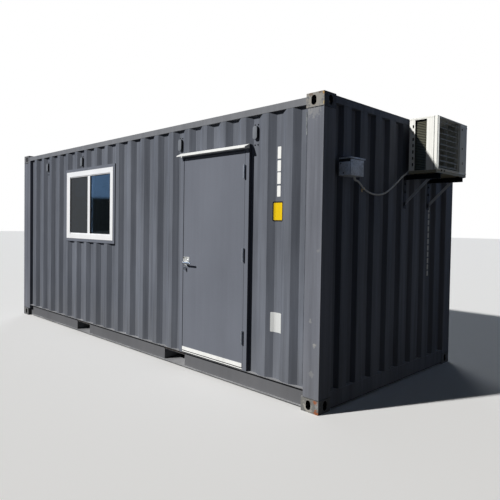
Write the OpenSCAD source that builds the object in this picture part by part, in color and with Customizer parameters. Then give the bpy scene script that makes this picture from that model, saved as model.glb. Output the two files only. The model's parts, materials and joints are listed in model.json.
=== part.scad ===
// Shipping container cabin, sizes in millimetres.
// X runs along the length towards the blind end, Y runs from the door side to the back, Z is up.
// The origin is on the ground, at the middle of the container frame.

/* [Container frame] */
// Length over the corner castings
frame_l = 6058; // [5800:1:6400]
// Width over the corner castings
frame_w = 2438; // [2300:1:2600]
// Height over the corner castings
frame_h = 2591; // [2500:1:2896]

/* [Corner castings] */
// Length of a casting along the container
cast_l = 178; // [170:1:190]
// Width of a casting across the container
cast_w = 162; // [150:1:170]
// Height of a casting
cast_h = 118; // [112:1:124]
// Thickness of a casting's outer walls
cast_wall = 28; // [20:1:32]
// Thickness of a casting's two welded inner walls
cast_inner_wall = 14; // [8:1:20]
// Length of the slot in the top or bottom of a casting
slot_l = 124; // [118:1:126]
// Width of that slot
slot_w = 63.5; // [58:0.5:66]
// Distance of the slot's middle from the end of the container
slot_from_end = 102.5; // [98:0.5:108]
// Distance of the slot's middle from the side of the container
slot_from_side = 89.5; // [85:0.5:92]
// Width of the aperture in a casting's side or end
side_hole_w = 51; // [44:1:60]
// Height of that aperture
side_hole_h = 79.5; // [70:0.5:84]
// Height of that aperture's middle from the casting's outer face
side_hole_up = 59; // [54:1:62]

/* [Corner posts] */
// Width of a blind end post on the side of the container
blind_post_l = 160; // [140:1:176]
// Width of a door end post on the side of the container
door_post_l = 240; // [200:1:280]
// Depth of the step in a door end post that the cargo doors close into
door_reveal = 118; // [105:1:130]
// Width of a door end post's end face
door_post_face = 56; // [48:1:64]
// Plate thickness of the posts
post_t = 6; // [4:0.5:8]

/* [Bottom rails and floor] */
// Height of the underside of the base frame above the ground
base_z = 17; // [12:1:30]
// Height of a bottom side rail
rail_h = 162; // [150:1:180]
// Depth of a bottom side rail's top flange
rail_flange = 48; // [42:1:54]
// Depth of a bottom side rail's bottom flange
rail_foot = 30; // [20:1:40]
// Thickness of a bottom side rail
rail_t = 4.5; // [3:0.5:7]
// Height of the crossmembers
cross_h = 122; // [100:1:126]
// Width of a crossmember's flanges
cross_w = 45; // [35:1:60]
// Thickness of a crossmember
cross_t = 4; // [3:0.5:6]
// Greatest distance between two crossmembers
cross_pitch = 310; // [260:1:400]
// Thickness of the plywood floor
floor_t = 28; // [21:1:32]

/* [Fork pockets] */
// Clear width of a fork pocket
pocket_w = 362; // [320:1:370]
// Distance between the middles of the two fork pockets
pocket_spacing = 2090; // [1900:1:2100]
// Distance of the pair's middle from the middle of the container
pocket_shift = 8; // [0:1:120]
// Height of the hole that a pocket leaves in the side rail
pocket_mouth_h = 128; // [118:1:135]
// Plate thickness of the pockets
pocket_t = 4; // [3:0.5:8]
// Depth of the plate under a pocket's mouth
pocket_strap = 200; // [120:1:300]

/* [Top rails and roof] */
// Size of the square top side rail
top_rail = 60; // [50:1:70]
// Distance of the top side rails' upper face below the tops of the castings
top_rail_drop = 26; // [16:1:60]
// Wall thickness of the top rails
top_rail_t = 3; // [2:0.5:5]
// Distance of the rails' outer face from the side of the container
rail_inset = 4; // [0:1:6]
// Thickness of the roof sheet
roof_t = 2; // [1.5:0.1:3]
// Distance between two roof troughs
roof_pitch = 209; // [180:1:240]
// Width of a roof trough at its top
trough_w = 118; // [90:1:130]
// Width of the sloping side of a roof trough
trough_slope = 13.5; // [8:0.5:20]
// Depth of a roof trough
trough_h = 20; // [12:1:26]

/* [Side walls] */
// Thickness of the wall sheets
sheet_t = 2; // [1.6:0.1:3]
// Distance from crest to crest of the side walls
wave_pitch = 277; // [260:1:290]
// Width of a crest's flat
wave_crest = 72; // [60:1:80]
// Width of the slope between a crest and a valley
wave_slope = 68; // [50:1:72]
// Depth of the side walls' waves
wave_d = 36; // [25:1:40]
// Distance of the crests from the side of the container
wave_inset = 6; // [4:1:8]

/* [Blind end] */
// Distance from crest to crest of the blind end wall
end_pitch = 250; // [240:1:260]
// Width of a crest's flat in the blind end wall
end_crest = 110; // [90:1:115]
// Width of a slope in the blind end wall
end_slope = 18; // [12:1:24]
// Depth of the blind end wall's waves
end_d = 45.6; // [36:0.1:48]
// Distance of the blind end's crests from the end of the container
end_inset = 9; // [8:1:12]
// Height of the blind end's bottom sill
end_sill_h = 138; // [120:1:150]
// Height of the blind end's top header
end_header_h = 60; // [50:1:66]
// Distance of the header's upper face below the castings' tops
end_header_drop = 8; // [4:1:20]
// Distance of the sill and the header from the end of the container
end_frame_inset = 6; // [4:1:8]

/* [Cargo door end] */
// Thickness of a cargo door leaf
cargo_t = 50; // [40:1:54]
// Gap around each cargo door leaf
cargo_gap = 8; // [6:1:10]
// Top of the cargo door sill above the ground
cargo_sill_z = 167; // [150:1:175]
// Distance of the cargo door header's underside below the tops of the castings
cargo_header_drop = 156; // [130:1:190]
// Depth of the cargo door sill and header along the container
cargo_frame_d = 116; // [100:1:140]
// Width of a cargo door's upright tubes
cargo_stile = 100; // [80:1:120]
// Height of a cargo door's top and bottom members
cargo_rail = 150; // [100:1:170]
// Wall thickness of those tubes
cargo_tube_t = 4; // [3:0.5:6]
// Height of a cargo door hinge
cargo_hinge_h = 80; // [60:1:100]
// Width of a lock rod's keeper
keeper_w = 76; // [68:1:90]
// Distance of the outer cargo door hinges' middles from the ends of a leaf
cargo_hinge_end = 260; // [200:1:320]
// Diameter of the lock rods
rod_d = 34; // [27:1:36]
// Distance of the rods' ends from the ground and from the tops of the castings
rod_end = 70; // [50:1:90]
// Length of a lock rod's handle
handle_l = 430; // [380:1:450]
// Distance of the inner lock rods from the middle of the doors
rod_in = 290; // [240:1:340]
// Distance of the outer lock rods from the middle of the doors
rod_out = 870; // [800:1:920]

/* [Personnel door] */
// Distance of the door leaf's middle from the middle of the container
door_x = 1704; // [1500:1:1850]
// Width of the door leaf
leaf_w = 898; // [800:1:920]
// Height of the wall over the door frame
over_door = 250; // [200:1:400]
// Thickness of the door leaf
leaf_t = 45; // [38:1:48]
// Thickness of the leaf's steel skin
leaf_skin = 1.5; // [1:0.1:2.5]
// Wall thickness of the door frame's tubes
jamb_t = 3; // [2:0.5:4]
// Width of the door frame's tubes as seen from outside
jamb_w = 50; // [40:1:60]
// Depth of the door frame
jamb_d = 80; // [74:1:100]
// Distance that the door frame stands out from the side of the container
jamb_out = 3; // [2:1:10]
// Gap between the leaf and the jamb at the hinges
hinge_gap = 5; // [5:0.5:7]
// Gap between the leaf and the jamb at the lock
lock_gap = 7; // [7:0.5:10]
// Gap above the leaf and between the leaf and the stops
leaf_gap = 5; // [5:0.5:8]
// Height of the threshold
threshold_h = 18; // [12:1:22]
// Gap under the leaf
leaf_under = 8; // [6:1:12]
// Width of the door stops
stop_w = 15; // [10:1:20]
// Thickness of the door stops
stop_t = 20; // [12:1:24]
// Height of the white strip along the foot of the leaf
sweep_h = 36; // [30:1:50]
// Thickness of that strip
sweep_t = 5; // [3:0.5:6]
// Distance that the canopy over the door stands out from the door frame
canopy_out = 60; // [40:1:90]
// Fall of the canopy from back to front
canopy_fall = 28; // [10:1:36]
// Thickness of the canopy sheet
canopy_t = 2; // [1.5:0.1:3]

/* [Hinges and lock] */
// Radius of the hinge barrels
barrel_r = 11; // [9:0.5:11.5]
// Radius of the hinge pins
pin_r = 5; // [4:0.5:6]
// Height of a hinge
hinge_h = 125; // [100:1:150]
// Distance of the bottom hinge from the foot of the leaf
hinge_foot = 215; // [180:1:260]
// Distance of the top hinge from the top of the leaf
hinge_head = 130; // [110:1:260]
// Height of the lever above the ground
lever_z = 1124; // [1000:1:1200]
// Distance of the lever's spindle from the lock edge of the leaf
backset = 62; // [55:1:75]
// Radius of the lock roses
rose_r = 33; // [27:1:36]
// Thickness of the lock roses
rose_t = 9; // [5:1:12]
// Width of the plate under the outer rose
guard_w = 97; // [80:1:110]
// Height of that plate
guard_h = 116; // [90:1:130]
// Thickness of that plate
guard_t = 2; // [1.5:0.5:3]
// Length of the lever from its spindle
lever_l = 118; // [100:1:140]
// Radius of the lever's bar
lever_r = 9; // [7:0.5:11]
// Distance of the lever's bar from the door
lever_out = 56; // [45:1:65]
// Radius of the spindle
spindle_r = 8; // [6:0.5:10]

/* [Window] */
// Distance of the window's middle from the middle of the container
window_x = -824; // [-1000:1:-700]
// Width of the white window frame
window_w = 1270; // [1100:1:1300]
// Height of the white window frame
window_h = 920; // [800:1:960]
// Height of the wall over the window's steel surround
over_window = 243; // [200:1:400]
// Width of the steel surround
surround_w = 40; // [30:1:50]
// Depth of the steel surround
surround_d = 50; // [44:1:60]
// Width of the window frame's bars
win_bar = 44; // [36:1:50]
// Depth of the window frame
win_d = 62; // [58:1:80]
// Width of a sash's bars
sash_bar = 36; // [28:1:40]
// Depth of a sash
sash_d = 22; // [18:1:24]
// Depth of the insect screen's frame
screen_d = 12; // [8:1:20]
// Thickness of the glass
glass_t = 5; // [3:0.5:6]

/* [Vents] */
// Width of a wall vent
vent_w = 62; // [50:1:68]
// Height of a wall vent
vent_h = 168; // [140:1:180]
// Thickness of a wall vent
vent_t = 22; // [15:1:28]
// Height of the wall over the vents
over_vent = 71; // [50:1:80]

/* [Air conditioner] */
// Width of the air conditioner
ac_w = 670; // [600:1:760]
// Depth of the air conditioner
ac_d = 276; // [240:1:320]
// Height of the air conditioner
ac_h = 523; // [480:1:560]
// Distance of its middle from the middle of the container's width
ac_y = 397; // [360:1:440]
// Gap between the air conditioner and the end of the container
ac_gap = 60; // [50:1:80]
// Distance of its top below the tops of the castings
ac_drop = 33; // [0:1:120]
// Thickness of its casing
ac_t = 3; // [2:0.5:5]
// Width of the panel beside its coil
ac_panel = 170; // [140:1:220]
// Width of the opening in its side
side_hole_w_ac = 115; // [90:1:130]
// Distance of that opening from its back
side_hole_in = 56; // [45:1:70]
// Number of slots in the strip beside that opening
slot_n = 7; // [5:1:7]
// Distance from slot to slot
slot_pitch = 60; // [45:1:64]
// Depth of the front panel that closes its casing
bezel_d = 28; // [20:1:36]
// Width of the groove behind that panel
bezel_gap = 7; // [3:1:12]
// Distance of the coil from the inside of the casing
coil_back = 18; // [0:1:30]
// Height of the sill under the front grille
grille_sill = 43; // [30:1:60]
// Height of its base pan
pan_h = 26; // [18:1:30]
// Height of the pads under it
pad_h = 6; // [4:1:24]
// Thickness of its coil
coil_t = 26; // [20:1:36]
// Width of its front grille
grille_w = 450; // [400:1:480]
// Number of blades in its front grille
blade_n = 9; // [7:1:14]
// Width of the bracket's angle bars
bracket_w = 48; // [30:1:60]
// Thickness of the bracket's angle bars
bracket_t = 5; // [4:0.5:6]
// Length of a bracket's arm
bracket_l = 358; // [340:1:400]
// Height of a bracket's upright
bracket_h = 322; // [300:1:380]
// Length of the arm out to the top of a bracket's slanting strut
strut_reach = 264; // [200:1:300]

/* [Junction box] */
// Width of the junction box
box_w = 188; // [150:1:220]
// Depth of the junction box
box_d = 127; // [100:1:150]
// Height of the junction box
box_h = 133; // [110:1:160]
// Distance of its middle from the side of the container
box_from_side = 309; // [290:1:330]
// Distance of its underside below the air conditioner
box_drop = 98; // [60:1:140]
// Height of its lid
lid_h = 28; // [20:1:36]
// Distance that the lid stands out over the box
lid_over = 9; // [5:1:15]
// Diameter of the conduit
conduit_d = 16; // [14:1:18]

/* [Hidden] */
$fn = 48;

// Colours of the paint and the bare materials
paint = [0.30, 0.32, 0.35];
white = [0.90, 0.90, 0.88];
cream = [0.78, 0.77, 0.72];
steel = [0.62, 0.63, 0.64];
black = [0.08, 0.08, 0.09];
ply = [0.62, 0.48, 0.30];
rubber = [0.10, 0.10, 0.10];

// Ends and sides of the container frame
x_blind = frame_l / 2;
x_door = -x_blind;
y_front = -frame_w / 2;
y_back = -y_front;

// Levels
rail_top_z = base_z + rail_h;
floor_z = base_z + cross_h;
top_rail_z = frame_h - top_rail_drop;
top_rail_under = top_rail_z - top_rail;
cargo_header_z = frame_h - cargo_header_drop;
wall_h = top_rail_under - rail_top_z;
top_cast_z = frame_h - cast_h;

// Side walls
wall_x0 = x_door + door_post_l;
wall_x1 = x_blind - blind_post_l;
wall_mid = (wall_x0 + wall_x1) / 2;
wall_y = y_front + wave_inset;
wave_n = floor((wall_x1 - wall_x0 - wave_crest - 2 * wave_slope - 20) / wave_pitch) + 1;
function crest_x(i) = wall_mid + (i - (wave_n - 1) / 2) * wave_pitch;
function crest_points(c, half, slope, depth) = [
    [c - half - slope, depth],
    [c - half, 0],
    [c + half, 0],
    [c + half + slope, depth]];
wave_line = concat(
    [[wall_x0, wave_d - sheet_t]],
    [for (i = [0 : wave_n - 1]) each crest_points(crest_x(i), wave_crest / 2, wave_slope, wave_d - sheet_t)],
    [[wall_x1, wave_d - sheet_t]]);

// Rails
web_y = y_front + rail_flange;
web_in_y = web_y + rail_t;
rail_x0 = wall_x0 + 13;
rail_x1 = x_blind - cast_l;

// Fork pockets and crossmembers
pocket_xs = [pocket_shift - pocket_spacing / 2, pocket_shift + pocket_spacing / 2];
pocket_half = pocket_w / 2 + pocket_t;
bay_edges = [rail_x0, pocket_xs[0] - pocket_half - cross_w, pocket_xs[0] + pocket_half,
    pocket_xs[1] - pocket_half - cross_w, pocket_xs[1] + pocket_half, x_blind - cast_l - cross_w - 2];

// Blind end frame and wall
end_y = frame_w / 2 - cast_w;
end_frame_x = x_blind - end_frame_inset;
end_header_top = frame_h - end_header_drop;
end_header_z = end_header_top - end_header_h;
end_sill_top = base_z + end_sill_h;
end_wall_h = end_header_z - end_sill_top;
end_x = x_blind - end_inset;
end_n = 2 * floor((end_y - end_crest / 2 - end_slope - end_pitch / 2 - 5) / end_pitch) + 2;
function end_crest_y(i) = (i - (end_n - 1) / 2) * end_pitch;
end_line = concat(
    [[-end_y, end_d - sheet_t]],
    [for (i = [0 : end_n - 1]) each crest_points(end_crest_y(i), end_crest / 2, end_slope, end_d - sheet_t)],
    [[end_y, end_d - sheet_t]]);

// Cargo door end
cargo_stop_x = x_door + door_reveal;
cargo_in_x = cargo_stop_x - 6;
cargo_x = cargo_in_x - cargo_t;
cargo_side_y = frame_w / 2 - door_post_face;
cargo_leaf_z0 = cargo_sill_z + cargo_gap;
cargo_leaf_z1 = cargo_header_z - cargo_gap;
cargo_leaf_h = cargo_leaf_z1 - cargo_leaf_z0;
cargo_mid_gap = 4;
cargo_leaf_w = cargo_side_y - cargo_gap - cargo_mid_gap;
cargo_header_top = frame_h - 6;
// Section of a cargo door's panel, from the foot to the top
panel_h = cargo_leaf_h - 2 * cargo_rail;
panel_n = 5;
panel_pitch = panel_h / panel_n;
panel_d = cargo_t - 14;
panel_line = concat(
    [[0, panel_d]],
    [for (i = [0 : panel_n - 1]) each crest_points((i + 0.5) * panel_pitch, panel_pitch / 4, 60, panel_d)],
    [[panel_h, panel_d]]);
function panel_crest_z(i) = cargo_leaf_z0 + cargo_rail + (i + 0.5) * panel_pitch;

// Lock rods of the cargo doors
rod_x = cargo_x - rod_d / 2 - 4;
rod_ys = [rod_in, rod_out];
cam_h = 40;
cam_zs = [rod_end, frame_h - rod_end - cam_h];
handle_zs = [panel_crest_z(1) + 50, panel_crest_z(2) - 50];
hinge_zs_cargo = [for (i = [0 : 3])
    cargo_leaf_z0 + cargo_hinge_end + i * (cargo_leaf_h - 2 * cargo_hinge_end) / 3];

// Roof
roof_x0 = cargo_x + cargo_frame_d;
roof_x1 = end_frame_x - top_rail;
roof_half_w = frame_w / 2 - rail_inset - 10;
trough_half = end_y - 17;
trough_n = floor((roof_x1 - roof_x0 - 60) / roof_pitch);
trough_mid = (roof_x0 + roof_x1) / 2;
function trough_x(i) = trough_mid + (i - (trough_n - 1) / 2) * roof_pitch;

// Personnel door
leaf_x0 = door_x - leaf_w / 2;
leaf_x1 = door_x + leaf_w / 2;
frame_in_x0 = leaf_x0 - lock_gap;
frame_in_x1 = leaf_x1 + hinge_gap;
frame_x0 = frame_in_x0 - jamb_w;
frame_x1 = frame_in_x1 + jamb_w;
leaf_z0 = rail_top_z + threshold_h + leaf_under;
head_top = top_rail_under - over_door;
head_z = head_top - jamb_w;
leaf_z1 = head_z - leaf_gap;
leaf_h = leaf_z1 - leaf_z0;
jamb_y = y_front - jamb_out;
leaf_y = y_front - 1;
leaf_in_y = leaf_y + leaf_t;
stop_y = leaf_in_y + leaf_gap;

// Hinges
plate_t = 2;
pin_gap = 0.3;
knuckle_gap = 0.5;
hinge_x = leaf_x1 + hinge_gap / 2;
hinge_y = jamb_y - barrel_r - 1;
hinge_zs = [leaf_z0 + hinge_foot + hinge_h / 2, leaf_z0 + (leaf_h + hinge_foot - hinge_head) / 2,
    leaf_z1 - hinge_head - hinge_h / 2];
plate_y0 = hinge_y + barrel_r + 1;
plate_d = 34;

// Lever and lock
lever_x = leaf_x0 + backset;
hub_r = 12;

// Window
win_x0 = window_x - window_w / 2;
win_x1 = window_x + window_w / 2;
sur_x0 = win_x0 - surround_w;
sur_x1 = win_x1 + surround_w;
sur_z1 = top_rail_under - over_window;
window_z = sur_z1 - surround_w - window_h;
sur_z0 = window_z - surround_w;
vent_z0 = top_rail_under - over_vent - vent_h;
win_y = y_front - 4;
sash_w = (window_w - 2 * win_bar) / 2;
sash_h = window_h - 2 * win_bar;
sash_z = window_z + win_bar;
outer_track = win_y + 8;
inner_track = outer_track + sash_d + 2;
slider_w = sash_w + sash_bar;

// Air conditioner and its bracket
ac_z = frame_h - ac_drop - ac_h;
ac_x0 = x_blind + ac_gap;
ac_x1 = ac_x0 + ac_d;
ac_y0 = ac_y - ac_w / 2;
ac_y1 = ac_y + ac_w / 2;
bracket_ys = [end_pitch / 2, end_pitch * 5 / 2];
arm_z = ac_z - pad_h;
box_z = ac_z - box_drop;
box_y = y_front + box_from_side;
grille_z0 = ac_z + grille_sill;
grille_h = ac_h - grille_sill - 17;
grille_y0 = ac_y0 + 23;
side_hole_x0 = ac_x0 + side_hole_in;
side_hole_x1 = side_hole_x0 + side_hole_w_ac;
rim = 2;

// Conduit, from the elbow under the junction box to the elbow at the back of the air conditioner
elbow_r = 24;
elbow_neck = 5;
box_entry = [end_x + box_d - 42, box_y + 22, box_z];
box_turn = 77;
box_aim = 105;
ac_entry = [ac_x0, ac_y0 + 64, ac_z + 33];
ac_climb = 27;
conduit_zero = [end_x, 0, ac_z];
conduit_pts = [[68, -807, -134], [42, -721, -156], [22, -658, -175], [17, -639, -181], [18, -618, -190],
    [21, -587, -203], [25, -512, -220], [30, -419, -223], [34, -322, -207], [36, -220, -164],
    [38, -115, -103], [39, -6, -34]];
clip_at = conduit_zero + conduit_pts[3];
conduit_sides = 10;

// A slot with round ends along X, cut or raised along Z
module slot_along_x(length, width, height) {
    hull_x = (length - width) / 2;
    translate([-hull_x, 0, 0]) cylinder(h = height, d = width);
    translate([hull_x, 0, 0]) cylinder(h = height, d = width);
    translate([-hull_x, -width / 2, 0]) cube([2 * hull_x, width, height]);
}

// One casting with its outer corner at the origin and its plate with the slot on the ground
module corner_casting() {
    difference() {
        cube([cast_l, cast_w, cast_h]);
        translate([cast_wall, cast_wall, cast_wall])
            cube([cast_l - cast_wall - cast_inner_wall, cast_w - cast_wall - cast_inner_wall,
                cast_h - cast_wall - cast_inner_wall]);
        translate([slot_from_end, slot_from_side, -1])
            slot_along_x(slot_l, slot_w, cast_wall + 2);
        translate([slot_from_end, cast_wall + 1, side_hole_up]) rotate([90, 0, 0]) rotate([0, 0, 90])
            slot_along_x(side_hole_h, side_hole_w, cast_wall + 2);
        translate([-1, slot_from_side, side_hole_up]) rotate([0, 90, 0])
            slot_along_x(side_hole_h, side_hole_w, cast_wall + 2);
    }
}

// Puts its child at all four corners, mirrored to face outwards
module at_corners() {
    for (sx = [0, 1], sy = [0, 1])
        mirror([sx, 0, 0]) mirror([0, sy, 0])
            translate([x_door, y_front, 0]) children();
}

module bottom_castings() {
    color(paint) at_corners() corner_casting();
}

module top_castings() {
    color(paint) at_corners() translate([0, 0, frame_h]) mirror([0, 0, 1]) corner_casting();
}

// Outline of a door end post, with the step that the cargo doors close into
module door_post_outline(inset) {
    polygon([[inset, inset], [door_post_l - inset, inset], [door_post_l - inset, cast_w - inset],
        [door_reveal + inset, cast_w - inset], [door_reveal + inset, door_post_face - inset],
        [inset, door_post_face - inset]]);
}

module corner_posts() {
    color(paint) for (sy = [0, 1]) mirror([0, sy, 0]) {
        translate([x_door, y_front, cast_h]) linear_extrude(top_cast_z - cast_h) difference() {
            door_post_outline(0);
            door_post_outline(post_t);
        }
        translate([x_door + cast_l, y_front, top_cast_z]) linear_extrude(top_rail_under - top_cast_z)
            difference() {
                square([door_post_l - cast_l, cast_w]);
                translate([-1, post_t]) square([door_post_l - cast_l - post_t + 1, cast_w - 2 * post_t]);
            }
        translate([x_blind, y_front, cast_h]) mirror([1, 0, 0]) linear_extrude(top_cast_z - cast_h) {
            square([blind_post_l, post_t]);
            square([post_t, cast_w]);
            translate([blind_post_l - post_t, 0]) square([post_t, wave_inset + wave_d + 8]);
            translate([0, cast_w - post_t]) square([end_inset + end_d + 8, post_t]);
        }
    }
}

// One side rail, a channel that opens outwards, with the mouths of the fork pockets
module bottom_side_rail() {
    difference() {
        translate([rail_x0, 0, 0]) rotate([90, 0, 90]) linear_extrude(rail_x1 - rail_x0) {
            translate([y_front, rail_top_z - rail_t]) square([rail_flange + rail_t, rail_t]);
            translate([web_y, base_z]) square([rail_t, rail_h]);
            translate([web_y - rail_foot + rail_t, base_z]) square([rail_foot, rail_t]);
        }
        for (x = pocket_xs)
            translate([x - pocket_w / 2, web_y - 1, base_z + rail_t])
                cube([pocket_w, rail_t + 2, pocket_mouth_h]);
    }
    translate([x_door + cast_l, web_y, base_z])
        cube([rail_x0 - x_door - cast_l, rail_t, cast_h - base_z]);
    translate([rail_x1, web_y, cast_h])
        cube([wall_x1 - rail_x1, rail_t, rail_top_z - cast_h]);
    translate([rail_x1, y_front, rail_top_z - rail_t])
        cube([wall_x1 - rail_x1, rail_flange, rail_t]);
}

module bottom_side_rails() {
    color(paint) for (sy = [0, 1]) mirror([0, sy, 0]) bottom_side_rail();
}

// A square tube along X
module tube_x(length, depth, height, wall) {
    difference() {
        cube([length, depth, height]);
        translate([-1, wall, wall]) cube([length + 2, depth - 2 * wall, height - 2 * wall]);
    }
}

module top_side_rails() {
    color(paint) for (sy = [0, 1]) mirror([0, sy, 0])
        translate([x_door + cast_l, y_front + rail_inset, top_rail_under])
            tube_x(frame_l - 2 * cast_l, top_rail, top_rail, top_rail_t);
}

// One crossmember, a channel along Y
module crossmember() {
    translate([0, 0, base_z]) {
        cube([cross_t, 2 * -web_in_y, cross_h]);
        cube([cross_w, 2 * -web_in_y, cross_t]);
        translate([0, 0, cross_h - cross_t]) cube([cross_w, 2 * -web_in_y, cross_t]);
    }
}

module crossmembers() {
    color(paint) for (bay = [0, 2, 4]) {
        start = bay_edges[bay];
        length = bay_edges[bay + 1] - start;
        count = max(1, ceil(length / cross_pitch));
        for (i = [0 : count])
            translate([start + i * length / count, web_in_y, 0]) crossmember();
    }
}

module fork_pockets() {
    color(paint) for (x = pocket_xs) translate([x - pocket_half, 0, 0]) {
        for (side = [0, pocket_w + pocket_t])
            translate([side, web_in_y, base_z]) cube([pocket_t, 2 * -web_in_y, cross_h]);
        translate([0, web_in_y, floor_z - pocket_t]) cube([2 * pocket_half, 2 * -web_in_y, pocket_t]);
        for (sy = [0, 1]) mirror([0, sy, 0])
            translate([0, web_in_y, base_z]) cube([2 * pocket_half, pocket_strap, pocket_t]);
    }
}

module floor_deck() {
    color(ply) translate([0, 0, floor_z]) {
        translate([wall_x0, web_in_y, 0]) cube([rail_x1 - wall_x0, 2 * -web_in_y, floor_t]);
        translate([cargo_x + cargo_frame_d, -end_y, 0])
            cube([wall_x0 - cargo_x - cargo_frame_d, 2 * end_y, floor_t]);
        translate([rail_x1, -end_y, 0]) cube([end_frame_x - top_rail - rail_x1, 2 * end_y, floor_t]);
    }
}

// A hollow beam along Y
module beam_y(x0, y_half, z0, depth, height, wall) {
    translate([x0, -y_half, z0]) difference() {
        cube([depth, 2 * y_half, height]);
        translate([wall, -1, wall]) cube([depth - 2 * wall, 2 * y_half + 2, height - 2 * wall]);
    }
}

module blind_end_frame() {
    color(paint) {
        beam_y(end_frame_x - top_rail, end_y, end_header_z, top_rail, end_header_h, top_rail_t);
        beam_y(end_frame_x - top_rail, end_y, base_z, top_rail, end_sill_h, rail_t);
    }
}

module door_end_frame() {
    color(paint) {
        beam_y(cargo_x, end_y, base_z, cargo_frame_d, cargo_sill_z - base_z, rail_t);
        beam_y(cargo_x, end_y, top_cast_z, cargo_frame_d, cargo_header_top - top_cast_z, rail_t);
        beam_y(cargo_x, end_y, cargo_header_z, cargo_frame_d, top_cast_z - cargo_header_z, rail_t);
        for (sy = [0, 1]) mirror([0, sy, 0]) {
            translate([cargo_x, end_y, cast_h])
                cube([cargo_stop_x - cargo_x, cargo_side_y - end_y, cargo_sill_z - cast_h]);
            translate([cargo_x, end_y, cargo_header_z])
                cube([cargo_stop_x - cargo_x, cargo_side_y - end_y, top_cast_z - cargo_header_z]);
        }
    }
}

module roof_outline() {
    polygon(concat(
        [[roof_x0, roof_t], [roof_x0, 0]],
        [for (i = [0 : trough_n - 1]) each [
            [trough_x(i) - trough_w / 2, 0],
            [trough_x(i) - trough_w / 2 + trough_slope, -trough_h],
            [trough_x(i) + trough_w / 2 - trough_slope, -trough_h],
            [trough_x(i) + trough_w / 2, 0]]],
        [[roof_x1, 0], [roof_x1, roof_t]]));
}

module trough_outline(i, lift) {
    polygon([
        [trough_x(i) - trough_w / 2 + roof_t, roof_t + 1],
        [trough_x(i) - trough_w / 2 + roof_t, lift],
        [trough_x(i) - trough_w / 2 + trough_slope + roof_t / 2, lift - trough_h],
        [trough_x(i) + trough_w / 2 - trough_slope - roof_t / 2, lift - trough_h],
        [trough_x(i) + trough_w / 2 - roof_t, lift],
        [trough_x(i) + trough_w / 2 - roof_t, roof_t + 1]]);
}

module roof_panel() {
    color(paint) translate([0, 0, top_rail_z]) {
        difference() {
            translate([0, trough_half, 0]) rotate([90, 0, 0]) linear_extrude(2 * trough_half) roof_outline();
            translate([0, trough_half - roof_t, 0]) rotate([90, 0, 0])
                linear_extrude(2 * trough_half - 2 * roof_t)
                    for (i = [0 : trough_n - 1]) trough_outline(i, roof_t);
        }
        for (sy = [0, 1]) mirror([0, sy, 0]) {
            translate([roof_x0, trough_half, 0]) cube([roof_x1 - roof_x0, end_y - trough_half, roof_t]);
            translate([roof_x0, end_y, 0])
                cube([x_blind - cast_l - roof_x0, roof_half_w - end_y, roof_t]);
        }
    }
}

// The cross-section of a corrugated sheet that follows a line of points
module sheet_section(line, thickness) {
    n = len(line);
    polygon(concat(line, [for (i = [n - 1 : -1 : 0]) line[i] + [0, thickness]]));
}

// A piece of the front wall between two places along X, from z0 to z1
module wall_piece(x0, x1, z0, z1) {
    translate([0, wall_y, z0]) linear_extrude(z1 - z0) intersection() {
        sheet_section(wave_line, sheet_t);
        translate([x0, -1]) square([x1 - x0, wave_d + 2]);
    }
}

// Room for the top castings, which the sheets stop under
module top_casting_room() {
    translate([rail_x1, y_front, top_cast_z]) cube([cast_l, cast_w, frame_h - top_cast_z]);
}

module front_wall_left() {
    color(paint) wall_piece(wall_x0, sur_x0, rail_top_z, top_rail_under);
}

module front_wall_by_window() {
    color(paint) {
        wall_piece(sur_x0, sur_x1, rail_top_z, sur_z0);
        wall_piece(sur_x0, sur_x1, sur_z1, top_rail_under);
    }
}

module front_wall_middle() {
    color(paint) wall_piece(sur_x1, frame_x0, rail_top_z, top_rail_under);
}

module front_wall_over_door() {
    color(paint) wall_piece(frame_x0, frame_x1, head_top, top_rail_under);
}

module front_wall_right() {
    color(paint) difference() {
        wall_piece(frame_x1, wall_x1, rail_top_z, top_rail_under);
        top_casting_room();
    }
}

module back_wall() {
    color(paint) mirror([0, 1, 0]) difference() {
        wall_piece(wall_x0, wall_x1, rail_top_z, top_rail_under);
        top_casting_room();
    }
}

module blind_end_wall() {
    color(paint) translate([end_x, 0, end_sill_top]) mirror([1, 0, 0]) rotate([0, 0, 90]) mirror([0, 1, 0])
        linear_extrude(end_wall_h) sheet_section(end_line, sheet_t);
}

// One vent cover with round ends and a hooded mouth at its foot
module wall_vent() {
    difference() {
        union() {
            for (z = [vent_w / 2, vent_h - vent_w / 2])
                translate([0, 0, z]) rotate([-90, 0, 0]) cylinder(h = vent_t, d = vent_w);
            translate([-vent_w / 2, 0, vent_w / 2]) cube([vent_w, vent_t, vent_h - vent_w]);
        }
        translate([-vent_w / 2 + 8, 5, -1]) cube([vent_w - 16, vent_t - 10, 26]);
    }
}

module wall_vents() {
    color(paint) for (sy = [0, 1]) mirror([0, sy, 0])
        for (i = [1, 5, wave_n - 7, wave_n - 3])
            translate([(crest_x(i) + crest_x(i + 1)) / 2, wall_y + wave_d - sheet_t - vent_t, vent_z0])
                wall_vent();
}

// A rectangular ring in the plane of the front wall
module ring(x0, x1, z0, z1, bar, y, depth) {
    translate([x0, y, z0]) difference() {
        cube([x1 - x0, depth, z1 - z0]);
        translate([bar, -1, bar]) cube([x1 - x0 - 2 * bar, depth + 2, z1 - z0 - 2 * bar]);
    }
}

module window_surround() {
    color(paint) ring(sur_x0, sur_x1, sur_z0, sur_z1, surround_w, y_front, surround_d);
}

module window_frame() {
    color(white) ring(win_x0, win_x1, window_z, window_z + window_h, win_bar, win_y, win_d);
}

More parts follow.
